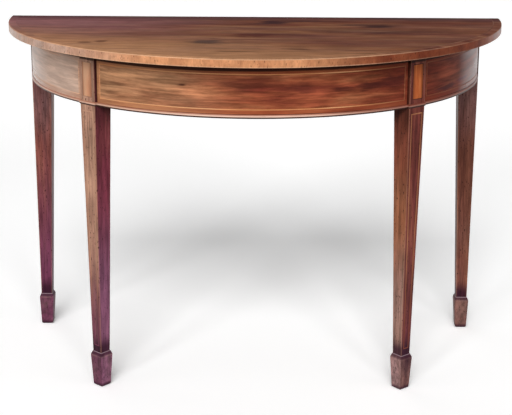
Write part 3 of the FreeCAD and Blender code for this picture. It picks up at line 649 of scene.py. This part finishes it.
# Painted light: the line, the dark line and the panel are paler on the faces towards the lamps.
upright_boxwood = wood(
    "upright_boxwood", "upright", LEG_LINE_TONES, bands=(8.0, 200.0), pore_depth=0.2,
    gloss=(0.35, 0.45), dress=[light_and_tone_on_faces(LEG_PAINTED_LIGHT, 0.9, upwards=(0.12, 0.36)), worn_low])
ebonised = wood(
    "dark_stringing", "upright", DARK_TONES, gloss=(0.3, 0.4), dress=[light_and_tone_on_faces(LEG_PAINTED_LIGHT, 0.6)])
satinwood = wood(
    "stile_satinwood", "upright", PANEL_TONES, bands=(8.0, 90.0), gloss=(0.26, 0.36),
    dress=[light_and_tone_on_faces(PANEL_PAINTED_LIGHT, 0.9), sand_shaded])


def frame_corners(low, high, margin, inset):
    """Corners of a frame on a leg's outward face, as (across, height), so far inside its outline."""
    low, high, margin = low + inset, high - inset, margin + inset
    right_low, right_high = shaft_width(low) - margin, shaft_width(high) - margin
    return [(margin, low), (right_low, low), (right_high, high), (margin, high)]


def line_strips(label, outlines):
    """Four strips of line mitred between two outlines on a leg's face, a hair proud of it."""
    mitres = []
    for outer, inner in zip(*outlines):
        corners = ((outer, -LINE_PROUD), (inner, -LINE_PROUD), (inner, INLAY_DEPTH), (outer, INLAY_DEPTH))
        mitres.append([on_leg(label, across, deep, height) for (across, height), deep in corners])
    return [(mitres[end - 1], mitres[end]) for end in range(4)]


def thin_sheet(columns, rows, face, back):
    """Rings of a thin sheet, whose face and back are given by shares across and up."""
    shares = [column / (columns - 1) for column in range(columns)]
    rings = []
    for up in [row / (rows - 1) for row in range(rows)]:
        front = [face(across, up) for across in shares]
        rings.append(front + [back(across, up) for across in reversed(shares)])
    return rings


for label in ("front_right", "front_left"):
    for kind, low, high, margin, width, material, slot in (
        ("leg", line_low.z, line_high.z, LINE_MARGIN, LINE_WIDTH, upright_boxwood, "boxwood_line"),
        ("stile", dark_low.z, dark_high.z, stile_margin, DARK_LINE_WIDTH, ebonised, "dark_line"),
    ):
        outlines = [frame_corners(low, high, margin, inset) for inset in (0.0, width)]
        strips = line_strips(label, outlines)
        new_piece(f"{label}_{kind}_line", strips, material, slot, f"{label}_{kind}_stringing")
    (left, low), _, (right, high), _ = outlines[1]

    def panel_back(across, up, deep=INLAY_DEPTH):
        return on_leg(label, left + (right - left) * across, deep, low + (high - low) * up)

    def panel_face(across, up):
        place = Vector((left + (right - left) * across, low + (high - low) * up, 0))
        return panel_back(across, up, -LINE_PROUD * (1 + PANEL_RIPPLE * noise.noise(place * PANEL_WAVES)))

    sheet = thin_sheet(PANEL_COLUMNS, PANEL_ROWS, panel_face, panel_back)
    new_piece(f"{label}_satin_panel", [sheet], satinwood, "panel_wood", f"{label}_stile_panel")

# Frieze: a sheet of mahogany veneer in each bay, glued down over the bricks. Age has let the sheet
# ripple a little. A rectangle of pale boxwood line is let into it, with plainer wood outside.
FRIEZE_TONES = {0.1: (104, 46, 34), 0.4: (132, 66, 45), 0.7: (148, 78, 52), 0.95: (164, 98, 66)}
BORDER_TONES = {0.15: (124, 58, 38), 0.5: (144, 72, 46), 0.85: (162, 90, 58)}
# Painted light: the frieze, its border, line and bead are paler on faces towards the lamps; painted sheen
# greys the left end; painted shade darkens the right end.
FRIEZE_PAINTED_LIGHT = stain(179, 133, 97)
FRIEZE_PAINTED_SHEEN = stain(195, 167, 150)
FRIEZE_SHADED = stain(98, 36, 26)
BORDER_PAINTED_LIGHT = stain(174, 122, 86)
TOWARDS_LEFT = (-0.94, -0.342, 0.0)
LEFT_END = (TOWARDS_LEFT, 0.84, 0.95)
POLISHED_FRIEZE = (0.43, 0.475)
SHADE_BY_LEG, SHADE_OVER_BEAD, SHADE_UNDER_TOP = (0.004, 0.0012), (0.0012, 0.0), (0.0172, 0.0144)
FRIEZE_MARKS = [
    (-139, 678, 12, 3.2, (66, 34, 26), 0.85), (-288, 667, 34, 4.5, (104, 66, 46), 0.45),
    (-301, 648, 30, 4.5, (104, 66, 46), 0.4), (-205, 652, 32, 6, (112, 66, 46), 0.45),
    (21, 691, 60, 16, (96, 46, 34), 0.6), (95, 674.5, 45, 12, (92, 44, 34), 0.6),
    (185, 668, 30, 7, (66, 28, 24), 0.7), (245, 670, 45, 10, (62, 26, 22), 0.8),
    (300, 676, 36, 12, (70, 30, 26), 0.6), (480, 676, 45, 18, (150, 76, 56), 0.45),
    (470, 642, 50, 7, (64, 26, 30), 0.7), (545, 648, 35, 6, (84, 28, 44), 0.65),
    (450, 703, 50, 9, (66, 28, 28), 0.6),
]
RIPPLE, RIPPLE_WAVES = 0.00012, Vector((22, 30, 0))
SHEET_STEP = 0.008
SHEET_MARGIN = 0.009
veneer_thickness = cad_box[1].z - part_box("top_veneer")[0].z
sheet_back = frieze_radius - veneer_thickness
frame_low, frame_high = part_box("front_frieze_stringing")
sheet_low, sheet_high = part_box("front_frieze_veneer")
half_stile = asin(leg_width / 2 / sheet_back)


def bays(radius, clear=0.0):
    """Angles of the three bays between the legs, at a radius and so far clear of them."""
    stile = asin((leg_width / 2 + clear) / radius)
    end = pi / 2 - asin((back_setback + leg_width + clear) / radius)
    return [("front", stile - leg_turn, leg_turn - stile), ("right", leg_turn + stile, end),
            ("left", -end, -leg_turn - stile)]


def round_table(angle, radius, height):
    """Place round the curve of the table: the angle from the middle of the front, then out and up."""
    return Vector((radius * sin(angle), back_line - radius * cos(angle), height))


def curved_sheet(start, end, low, high, front):
    """Rings of a thin sheet bent round the frieze, with a slight ripple on its face."""
    def back(across, up):
        return round_table(start + (end - start) * across, sheet_back, low + (high - low) * up)

    def face(across, up):
        angle, height = start + (end - start) * across, low + (high - low) * up
        wave = noise.noise(Vector((angle * front, height, 0)) * RIPPLE_WAVES)
        return round_table(angle, front + wave * RIPPLE, height)

    columns = max(2, round((end - start) * front / SHEET_STEP) + 1)
    rows = max(2, round((high - low) / SHEET_STEP) + 1)
    return thin_sheet(columns, rows, face, back)


def shade_in_corners(tree, run, colour):
    """Painted shade beside the legs and just above the bead, and the painted shadow of the top's overhang.
    """
    arc, height, radius = split(run)
    from_leg = minus(reckon("ABSOLUTE", arc), leg_turn * frieze_radius)
    from_leg = minus(reckon("ABSOLUTE", from_leg), half_stile * frieze_radius)
    from_bead = minus(height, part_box("front_bead")[1].z)
    from_top = minus(sheet_high.z, height)
    places = ((from_leg, SHADE_BY_LEG), (from_bead, SHADE_OVER_BEAD), (from_top, SHADE_UNDER_TOP))
    for distance, reach in places:
        colour = tinge(fade(distance, *reach, 0.0, 0.9), colour, PAINTED_SHADE)
    return colour


def shaded_end(strength):
    """Painted shade: the right end, away from the lamps, is made darker and redder."""
    return graded(FRIEZE_SHADED, (SIDEWAYS, 0.16, 0.34, 0.0, strength))


def end_polish(clear, deep):
    """The polish lies thickest towards the two ends, where no hand has rubbed it."""
    def polish(tree):
        from_middle = reckon("ABSOLUTE", place_on_table(tree)[SIDEWAYS])
        return fade(from_middle, clear, deep, CLEAR_SHINE, DEEP_SHINE)
    return polish


# Painted sheen: pale grey over the left end of the frieze.
sheen_at_left_end = light_and_tone_on_faces(FRIEZE_PAINTED_SHEEN, 0.85, LEFT_END)
frieze_mahogany = wood(
    "frieze_mahogany", "round", FRIEZE_TONES, bands=(7.0, 42.0), waver=0.02, mottling=0.2,
    figure=(10.0, 95.0, 0.34), streaks=(11.0, 230.0), streak_depth=0.34, gloss=(0.26, 0.4),
    shine=end_polish(*POLISHED_FRIEZE), marks=FRIEZE_MARKS,
    dress=[light_and_tone_on_faces(FRIEZE_PAINTED_LIGHT, 0.8), sheen_at_left_end, shaded_end(0.75)],
    coats_over_grain=[light_and_tone_on_faces(FRIEZE_PAINTED_SHEEN, 0.58, LEFT_END)])
border_mahogany = wood(
    "border_mahogany", "round", BORDER_TONES, bands=(6.0, 60.0), gloss=(0.26, 0.4),
    shine=end_polish(*POLISHED_FRIEZE),
    dress=[light_and_tone_on_faces(BORDER_PAINTED_LIGHT, 0.85), sheen_at_left_end, shaded_end(0.7), shade_in_corners])
curved_boxwood = wood(
    "curved_boxwood", "round", BOXWOOD_TONES, bands=(8.0, 200.0), pore_depth=0.2, gloss=(0.35, 0.45),
    dress=[light_and_tone_on_faces(BORDER_PAINTED_LIGHT, 0.4), sheen_at_left_end, shaded_end(0.85)])
for bay, start, end in bays(sheet_back):
    margin, line = SHEET_MARGIN / frieze_radius, LINE_WIDTH / frieze_radius
    left, right, low, high = start + margin, end - margin, frame_low.z, frame_high.z
    inner_left, inner_right = left + line, right - line
    inner_low, inner_high = low + LINE_WIDTH, high - LINE_WIDTH
    field = [(inner_left, inner_right, inner_low, inner_high)]
    border = [
        (start, end, sheet_low.z, low), (start, end, high, sheet_high.z),
        (start, left, low, high), (right, end, low, high),
    ]
    lines = [
        (left, right, low, inner_low), (left, right, inner_high, high),
        (left, inner_left, inner_low, inner_high), (inner_right, right, inner_low, inner_high),
    ]
    for kind, parts, material, front, slot, node in (
        ("field", field, frieze_mahogany, frieze_radius, "frieze_veneer", "veneer"),
        ("border", border, border_mahogany, frieze_radius, "frieze_veneer", "veneer"),
        ("line", lines, curved_boxwood, frieze_radius + LINE_PROUD, "boxwood_line", "stringing"),
    ):
        lumps = [curved_sheet(*part, front) for part in parts]
        new_piece(f"{bay}_frieze_{kind}", lumps, material, slot, f"{bay}_frieze_{node}", smooth=True)

# Bead: a half-round mahogany moulding glued along the foot of the frieze in three lengths, and
# mitred round the head of each leg. Its crown has a painted highlight, faint towards the right,
# and its underside painted shade.
BEAD_TONES = {0.2: (130, 78, 58), 0.5: (148, 96, 76), 0.85: (166, 114, 94)}
BEAD_PAINTED_HIGHLIGHT = stain(228, 194, 176)
CROWN_SHARE, HIGHLIGHT_SHARES, SHADE_SHARES = 0.56, (0.26, 0.06), (0.08, 0.24)
BEAD_STEPS = 10
GLUE_LINE = 0.0003
FACET = 0.012
bead_low, bead_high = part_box("front_bead")
bead_height = bead_high.z - bead_low.z
bead_reach = back_line - bead_low.y - frieze_radius - GLUE_LINE
crown = bead_low.z + bead_height * CROWN_SHARE
highlight_from, highlight_full = (bead_height * share for share in HIGHLIGHT_SHARES)
shade_from, shade_full = (bead_height * share for share in SHADE_SHARES)
# Painted highlight along the crown, faint at the right end, and painted shade under it.
crown_highlight = graded(
    BEAD_PAINTED_HIGHLIGHT, (SIDEWAYS, -0.24, -0.08, 0.55, 0.9), (SIDEWAYS, 0.06, 0.26, 1.0, 0.2),
    (UP, crown - highlight_from, crown - highlight_full), (UP, crown + highlight_from, crown + highlight_full))
shaded_underside = graded(PAINTED_SHADE, (UP, crown - shade_from, crown - shade_full, 0.0, 0.92))
bead_mahogany = wood(
    "bead_mahogany", "round", BEAD_TONES, bands=(3.0, 120.0), gloss=(0.28, 0.4), shine=0.1,
    dress=[light_and_tone_on_faces(BORDER_PAINTED_LIGHT, 0.5), shaded_end(0.75), crown_highlight, shaded_underside])


def bead_section():
    """Half-round section of the bead: (how far it stands out, height)."""
    turns = [pi * (part / BEAD_STEPS - 0.5) for part in range(BEAD_STEPS + 1)]
    middle = bead_low.z + bead_height / 2
    return [(bead_reach * cos(turn), middle + bead_height / 2 * sin(turn)) for turn in turns]


def curved_length_tree():
    """Sweep a section round the table's centre, and lay so many equal lengths side by side."""
    tree = bpy.data.node_groups.new("curved_lengths", "GeometryNodeTree")
    sockets = {
        "Section": "Geometry", "Radius": "Float", "Sweep": "Float", "Turn": "Float", "Spacing": "Float",
        "Count": "Int", "Facets": "Int", "Seed": "Int", "Centre": "Vector", "Finish": "Material",
    }
    for name, kind in sockets.items():
        tree.interface.new_socket(name, in_out="INPUT", socket_type=f"NodeSocket{kind}")
    tree.interface.new_socket("Lengths", in_out="OUTPUT", socket_type="NodeSocketGeometry")
    given = add(tree, "NodeGroupInput").outputs

    x, y, z = split(add(tree, "GeometryNodeInputPosition").outputs[0])
    place = {0: minus(x, given["Radius"]), 1: product(z, -1.0)}
    laid = {"Geometry": given["Section"], "Position": made("ShaderNodeCombineXYZ", place)}
    section = made("GeometryNodeMeshToCurve", {"Mesh": made("GeometryNodeSetPosition", laid)})

    start = minus(-pi / 2, product(given["Sweep"], 0.5))
    bend = {"Resolution": given["Facets"], "Radius": given["Radius"], "Start Angle": start,
            "Sweep Angle": given["Sweep"]}
    arc = made("GeometryNodeCurveArc", bend)
    arc = made("GeometryNodeSetCurveNormal", {"Curve": arc}, mode="Z_UP")
    swept = {"Curve": arc, "Profile Curve": section, "Fill Caps": True}
    length = made("GeometryNodeCurveToMesh", swept)

    index = add(tree, "GeometryNodeInputIndex").outputs[0]
    middle = product(minus(given["Count"], 1.0), 0.5)
    turn = product(minus(index, middle), given["Spacing"])
    turn = made("ShaderNodeCombineXYZ", {2: reckon("ADD", turn, given["Turn"])})
    spots = made("GeometryNodePoints", {"Count": given["Count"], "Position": given["Centre"]})
    row = {"Points": spots, "Instance": length, "Rotation": turn}
    row = made("GeometryNodeInstanceOnPoints", row)
    lot = step("FunctionNodeRandomValue", {"ID": index, "Seed": given["Seed"]}, data_type="FLOAT")
    shades = {"Geometry": row, "Name": "shade", "Value": lot.outputs["Value"]}
    row = made("GeometryNodeStoreNamedAttribute", shades, data_type="FLOAT", domain="INSTANCE")
    whole = made("GeometryNodeRealizeInstances", {"Geometry": row})
    whole = made("GeometryNodeSetMaterial", {"Geometry": whole, "Material": given["Finish"]})
    step("NodeGroupOutput", {0: whole})
    return tree


curved_lengths = curved_length_tree()


def lay_lengths(name, section, material, slot, node, sweep, turn=0.0, spacing=0.0, count=1, seed=1):
    """Lengths of one section round the curve. The section is a closed outline of (radius, height)."""
    outline = bpy.data.meshes.new(name)
    edges = [(here, (here + 1) % len(section)) for here in range(len(section))]
    outline.from_pydata([(radius, 0.0, height) for radius, height in section], edges, [])
    piece = show(name, outline)
    radius = max(radius for radius, height in section)
    values = {
        "Radius": radius, "Sweep": sweep, "Turn": turn, "Spacing": spacing, "Count": count,
        "Facets": max(3, round(sweep * radius / FACET)), "Seed": seed,
        "Centre": (0.0, back_line, 0.0), "Finish": material,
    }
    grow = piece.modifiers.new("lengths", "NODES")
    grow.node_group = curved_lengths
    for socket in curved_lengths.interface.items_tree:
        if socket.in_out == "INPUT" and socket.name in values:
            grow[socket.identifier] = values[socket.name]
    ready = piece.evaluated_get(bpy.context.evaluated_depsgraph_get())
    mesh = bpy.data.meshes.new_from_object(ready)
    piece.modifiers.remove(grow)
    piece.data = mesh
    settle(mesh, smooth=True, merge=True)
    fit(piece, slot, node)


curved_bead = [(frieze_radius + GLUE_LINE + off, height) for off, height in bead_section()]
for bay, start, end in bays(frieze_radius, bead_reach):
    lay_lengths(f"{bay}_curved_bead", curved_bead, bead_mahogany, "bead_wood", f"{bay}_bead",
                end - start, (start + end) / 2)


def mitred_bead(label, path):
    """Rings of a bead along straight runs on a leg's head, mitred where they meet."""
    outs = []
    for (ax, ay), (bx, by) in zip(path, path[1:]):
        length = hypot(bx - ax, by - ay)
        outs.append(Vector(((by - ay) / length, (ax - bx) / length)))
    rings = []
    for index, (across, deep) in enumerate(path):
        before, after = outs[max(index - 1, 0)], outs[min(index, len(outs) - 1)]
        mitre = (before + after) / (1 + before.dot(after))
        ring = [(across + mitre.x * off, deep + mitre.y * off, height) for off, height in bead_section()]
        rings.append([on_leg(label, *point) for point in ring])
    return rings


front_return = stile_radius - sqrt(frieze_radius ** 2 - leg_width ** 2 / 4)
back_return = back_stile - sqrt(frieze_radius ** 2 - (back_setback + leg_width) ** 2)
FRONT_BREAK = [(0.0, front_return), (0.0, 0.0), (leg_width, 0.0), (leg_width, front_return)]
BACK_BREAK = [(0.0, 0.0), (0.0, leg_width), (back_return, leg_width)]
for label in LEG_CORNERS:
    rings = mitred_bead(label, FRONT_BREAK if label.startswith("front") else BACK_BREAK)
    new_piece(f"{label}_mitred_bead", [rings], bead_mahogany, "bead_wood", f"{label}_stile_bead",
              smooth=True)

# Ground of the top: three boards edge-jointed and planed flat, seen only from below and at the
# back edge, held by iron screws driven up through pockets in the frieze.
GROUND_TONES = {0.2: (96, 60, 40), 0.5: (122, 82, 56), 0.85: (148, 106, 76)}
IRON_TONES = {0.3: (44, 38, 34), 0.7: (72, 62, 54)}
board_wood = wood(
    "board_wood", "sideways", GROUND_TONES, bands=(1.2, 40.0), gloss=(0.5, 0.7), shine=0.25,
    relief=0.35)
finish_nodes(board_wood, "top_front_board", "top_middle_board", "top_back_board")
screw_iron = wood("screw_iron", "upright", IRON_TONES, bands=(300.0, 300.0), gloss=(0.5, 0.7), relief=0.4)
finish_nodes(screw_iron, "top_screws")

# Field of the top: sheets of figured mahogany with the grain from side to side, glued to the
# boards and French polished. It has faded towards the front, and a few knots and dark veins show.
FIELD_TONES = {0.1: (99, 53, 40), 0.4: (112, 65, 48), 0.7: (122, 75, 54), 0.95: (136, 90, 63)}
FADED = stain(194, 142, 102)
DEEP_MAROON = stain(70, 40, 46)
VIOLET_PAINTED_REFLECTION = stain(148, 98, 101)
FADING_LEAN, FADING_CLOUDS, FADING_PATCHES, FADING_EDGE = 0.36, (2.5, 9.0), 0.16, (0.35, 0.72)
DULL_SHINE = 0.001
FIELD_RIPPLE, FIELD_WAVES = 0.00015, Vector((6, 14, 0))
FIELD_RINGS, FIELD_FANS = 36, 120
FIELD_MARKS = [
    (-341, 357, 18, 16, (92, 56, 42), 0.7), (-309, 346, 16, 14, (88, 52, 40), 0.7),
    (-94, 351, 42, 36, (70, 50, 46), 0.85), (0, 261, 60, 30, (78, 36, 30), 0.85),
    (40, 88, 50, 26, (44, 22, 28), 0.85), (90, 66, 80, 18, (56, 30, 34), 0.6),
    (-32, 474, 50, 12, (96, 66, 48), 0.7), (87, 434, 34, 12, (88, 56, 40), 0.7),
    (271, 138, 50, 22, (48, 22, 20), 0.9), (244, 112, 90, 14, (62, 32, 28), 0.75),
    (279, 229, 60, 16, (70, 40, 32), 0.7), (185, 200, 120, 34, (76, 44, 36), 0.5),
    (350, 205, 120, 34, (68, 36, 32), 0.55), (370, 20, 150, 22, (50, 26, 28), 0.65),
    (310, 430, 100, 34, (116, 60, 32), 0.5),
]
top_height = cad_box[1].z
field_low, field_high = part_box("top_veneer")
field_radius = field_high.x


def sun_faded(tree, run, colour):
    """The polish has faded where the light falls, towards the front and the left."""
    x, y, z = place_on_table(tree)
    forward = minus(back_line, y)
    leaning = minus(forward, product(x, FADING_LEAN))
    patchy = product(clouds(run, *FADING_CLOUDS)[0], FADING_PATCHES)
    faded = fade(reckon("ADD", leaning, patchy), *FADING_EDGE, 0.0, 0.9)
    return tinge(faded, colour, FADED)


# Painted reflection: violet towards the back left; painted shade along the back edge.
top_coats = [
    graded(VIOLET_PAINTED_REFLECTION, (SIDEWAYS, 0.0, -0.42),
           (FORE_AND_AFT, back_line - 0.36, back_line - 0.08, 0.15, 0.75)),
    graded(DEEP_MAROON, (FORE_AND_AFT, back_line - 0.085, back_line - 0.012, 0.0, 0.74)),
    sun_faded,
    graded(PAINTED_SHADE, (FORE_AND_AFT, back_line - 0.008, back_line, 0.0, 0.7)),
]
field_marks = [(along, back_line * 1000 - forward, *rest) for along, forward, *rest in FIELD_MARKS]
field_mahogany = wood(
    "field_mahogany", "sideways", FIELD_TONES, bands=(4.0, 21.0), waver=0.045, mottling=0.16,
    figure=(6.0, 55.0, 0.2), gloss=(0.34, 0.48), shine=DULL_SHINE, marks=field_marks, dress=top_coats)


def field_back(out_share, round_share):
    """Place on the flat back of the field, by shares out from the centre and round from the left."""
    return round_table(pi * (round_share - 0.5), field_radius * out_share, field_low.z)


def field_face(out_share, round_share):
    """Place on the face of the field: flush at the centre, then a hair lower in shallow waves."""
    point = field_back(out_share, round_share)
    drop = 1 - noise.noise(point * FIELD_WAVES) if out_share else 0
    point.z = top_height - FIELD_RIPPLE * drop
    return point


sheet = thin_sheet(FIELD_RINGS + 1, FIELD_FANS + 1, field_face, field_back)
new_piece("figured_field", [sheet], field_mahogany, "field_veneer", "top_veneer", smooth=True, merge=True)

# Border of the top: a fine boxwood line, then cross-grained mahogany in short lengths round the
# curve, and more cross-grained lengths on the edge. The upper and lower arrises are rubbed round.
CROSSBAND_TONES = {0.1: (92, 50, 41), 0.4: (109, 63, 49), 0.7: (121, 75, 57), 0.95: (136, 92, 68)}
EDGE_TONES = {0.1: (104, 49, 32), 0.4: (115, 57, 37), 0.7: (123, 63, 41), 0.95: (136, 75, 49)}
TOP_LINE_TONES = {0.2: (94, 58, 46), 0.6: (118, 79, 61), 0.9: (142, 102, 79)}
# Painted light: the edge is paler where it faces the lamps; painted sheen greys it towards the left; the
# arrises get a painted highlight, partly wear.
EDGE_PAINTED_LIGHT = stain(207, 145, 102)
EDGE_PAINTED_SHEEN = stain(188, 160, 146)
ARRIS_HIGHLIGHT_AND_WEAR = stain(238, 192, 158)
LIT_EDGE, LEFT_EDGE = (TOWARDS_LAMPS, 0.35, 0.65), (TOWARDS_LEFT, 0.6, 1.0)
ARRIS_HIGHLIGHT_SIDE = (0.1, 0.45, 1.0, 0.25)
POLISHED_EDGE = (0.48, 0.53)
ARRIS_HIGHLIGHT_BAND = 0.003
TOP_ARRIS = 0.0011
ARRIS_CUTS = 3
CROSSBAND_LENGTHS = 11
EDGE_LENGTHS = 9
JOINT = 0.0003
edge_radius = cad_box[1].x
edge_inner = edge_radius - veneer_thickness
edge_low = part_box("top_edge_band")[0].z
line_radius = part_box("top_stringing")[1].x


def rounded(x, y, upwards):
    """A rounded outer corner of a section, from its side up or down to its flat."""
    turns = [pi / 2 * part / ARRIS_CUTS for part in range(ARRIS_CUTS + 1)]
    return [(x - TOP_ARRIS * (1 - cos(turn)), y - upwards * TOP_ARRIS * (1 - sin(turn)))
            for turn in turns]


def arris_highlight_and_wear(sound, worn, strength):
    """Painted highlight, partly wear: the top's arrises made pale on a band, most at the left."""
    def coat(tree, run, colour):
        rubbed = fade(split(run)[0], sound, worn, 0.0, strength)
        rubbed = product(rubbed, fade(place_on_table(tree)[SIDEWAYS], *ARRIS_HIGHLIGHT_SIDE))
        return tinge(rubbed, colour, ARRIS_HIGHLIGHT_AND_WEAR)
    return coat


top_line_wood = wood(
    "top_line_wood", "round", TOP_LINE_TONES, bands=(8.0, 200.0), pore_depth=0.2,
    shine=DULL_SHINE, dress=top_coats)
crossband_mahogany = wood(
    "crossband_mahogany", "radial", CROSSBAND_TONES, bands=(14.0, 40.0), gloss=(0.34, 0.48),
    shine=DULL_SHINE, lengths=0.08,
    dress=top_coats + [arris_highlight_and_wear(edge_radius - ARRIS_HIGHLIGHT_BAND, edge_radius, 0.36)])
edge_mahogany = wood(
    "edge_mahogany", "on_edge", EDGE_TONES, bands=(30.0, 30.0), figure=(70.0, 130.0, 0.16),
    streak_depth=0.05, specks=0.6, gloss=(0.34, 0.48), shine=end_polish(*POLISHED_EDGE), lengths=0.03,
    relief=0.2,
    dress=[
        light_and_tone_on_faces(EDGE_PAINTED_LIGHT, 0.95, LIT_EDGE, (0.38, 0.09)),
        light_and_tone_on_faces(EDGE_PAINTED_SHEEN, 0.9, LEFT_EDGE, (0.0, -0.4)),
        arris_highlight_and_wear(edge_low + ARRIS_HIGHLIGHT_BAND, edge_low, 0.6),
    ])
line_section = [(field_radius, field_low.z), (line_radius, field_low.z),
                (line_radius, top_height), (field_radius, top_height)]
lay_lengths("top_line", line_section, top_line_wood, "boxwood_line", "top_stringing", pi)
band_section = [(line_radius, field_low.z), (edge_radius, field_low.z)]
band_section += rounded(edge_radius, top_height, 1) + [(line_radius, top_height)]
edge_section = [(edge_inner, edge_low)] + rounded(edge_radius, edge_low, -1)[::-1]
edge_section += [(edge_radius, field_low.z), (edge_inner, field_low.z)]
for name, section, material, count, seed, node in (
    ("crossband_lengths", band_section, crossband_mahogany, CROSSBAND_LENGTHS, 4, "top_crossband"),
    ("edge_lengths", edge_section, edge_mahogany, EDGE_LENGTHS, 9, "top_edge_band"),
):
    spacing = pi / count
    sweep = spacing - JOINT / edge_radius
    lay_lengths(name, section, material, "crossband", node, sweep, 0.0, spacing, count, seed)

# Studio: a white floor that keeps the table's shadow and runs out of sight, under pale air. Three
# soft lamps stand in front, one of them above the camera, one fills each side and one is behind.
FLOOR_SIZE = 40.0
FLOOR_SHOWN, FLOOR_BOUNCE = 1.25, 0.35
AIR_STRENGTH = 0.16
half = FLOOR_SIZE / 2
floor_mesh = bpy.data.meshes.new("studio_floor")
corners = [(-half, -half, 0), (half, -half, 0), (half, half, 0), (-half, half, 0)]
floor_mesh.from_pydata(corners, [], [(0, 1, 2, 3)])
show("studio_floor", floor_mesh)


def shown_to_eye(tree):
    """1 for what the camera sees, straight or in gloss and glass, and 0 for the light on the table."""
    seen = add(tree, "ShaderNodeLightPath").outputs
    gloss = reckon("MAXIMUM", seen["Is Glossy Ray"], seen["Is Transmission Ray"])
    return reckon("MAXIMUM", seen["Is Camera Ray"], gloss)


floor_paint = bpy.data.materials.new("floor_paint")
floor_paint.use_nodes = True
floor_mesh.materials.append(floor_paint)
paint = floor_paint.node_tree
surface = paint.nodes["Principled BSDF"].inputs
surface["Roughness"].default_value = 0.9
surface["Specular IOR Level"].default_value = 0.0
paint.links.new(fade(shown_to_eye(paint), *WHOLE, FLOOR_BOUNCE, FLOOR_SHOWN), surface["Base Color"])

world = bpy.data.worlds.new("studio_air")
bpy.context.scene.world = world
world.use_nodes = True
air = world.node_tree
air.nodes.clear()
strength = fade(shown_to_eye(air), *WHOLE, AIR_STRENGTH, 1.0)
white = made("ShaderNodeBackground", {"Color": (1, 1, 1, 1), "Strength": strength})
step("ShaderNodeOutputWorld", {"Surface": white})


def soft_light(name, azimuth, elevation, spread, strength):
    """Broad far light from a direction: degrees round from the front, above the floor, and across."""
    lamp = bpy.data.lights.new(name, "SUN")
    lamp.energy, lamp.angle = strength, radians(spread)
    show(name, lamp).rotation_euler = (radians(90 - elevation), 0, radians(azimuth))


soft_light("left_softbox", -28, 19, 12, 0.8)
soft_light("right_softbox", 20, 19, 12, 0.6)
soft_light("upper_softbox", -5, 36.5, 26, 2.1)
soft_light("left_fill", -62, 11, 44, 0.6)
soft_light("right_fill", 60, 10, 50, 0.6)
soft_light("back_window", -135, 18, 60, 0.4)

# Camera: a long lens a little above the table, nearly square to it, with the lens dropped so that
# the legs stay nearer upright in the picture.
IMAGE_WIDTH = 512
FOCAL_PIXELS = 1359.2
LENS_SHIFT_PIXELS = (4.8, -40.0)
CAMERA_PLACE = (0.0418, -2.8137, 1.1923)
CAMERA_PITCH, CAMERA_YAW, CAMERA_ROLL = 0.2557, -0.0159, 0.0039
camera_data = bpy.data.cameras.new("camera")
camera_data.sensor_fit = "HORIZONTAL"
camera_data.lens = FOCAL_PIXELS / IMAGE_WIDTH * camera_data.sensor_width
camera_data.shift_x, camera_data.shift_y = (shift / IMAGE_WIDTH for shift in LENS_SHIFT_PIXELS)
camera = show("camera", camera_data)
turned = Matrix.Rotation(-CAMERA_YAW, 4, "Z") @ Matrix.Rotation(pi / 2 - CAMERA_PITCH, 4, "X")
camera.matrix_world = Matrix.Translation(CAMERA_PLACE) @ turned @ Matrix.Rotation(CAMERA_ROLL, 4, "Z")
bpy.context.scene.camera = camera
bpy.context.scene.view_settings.view_transform = "Standard"
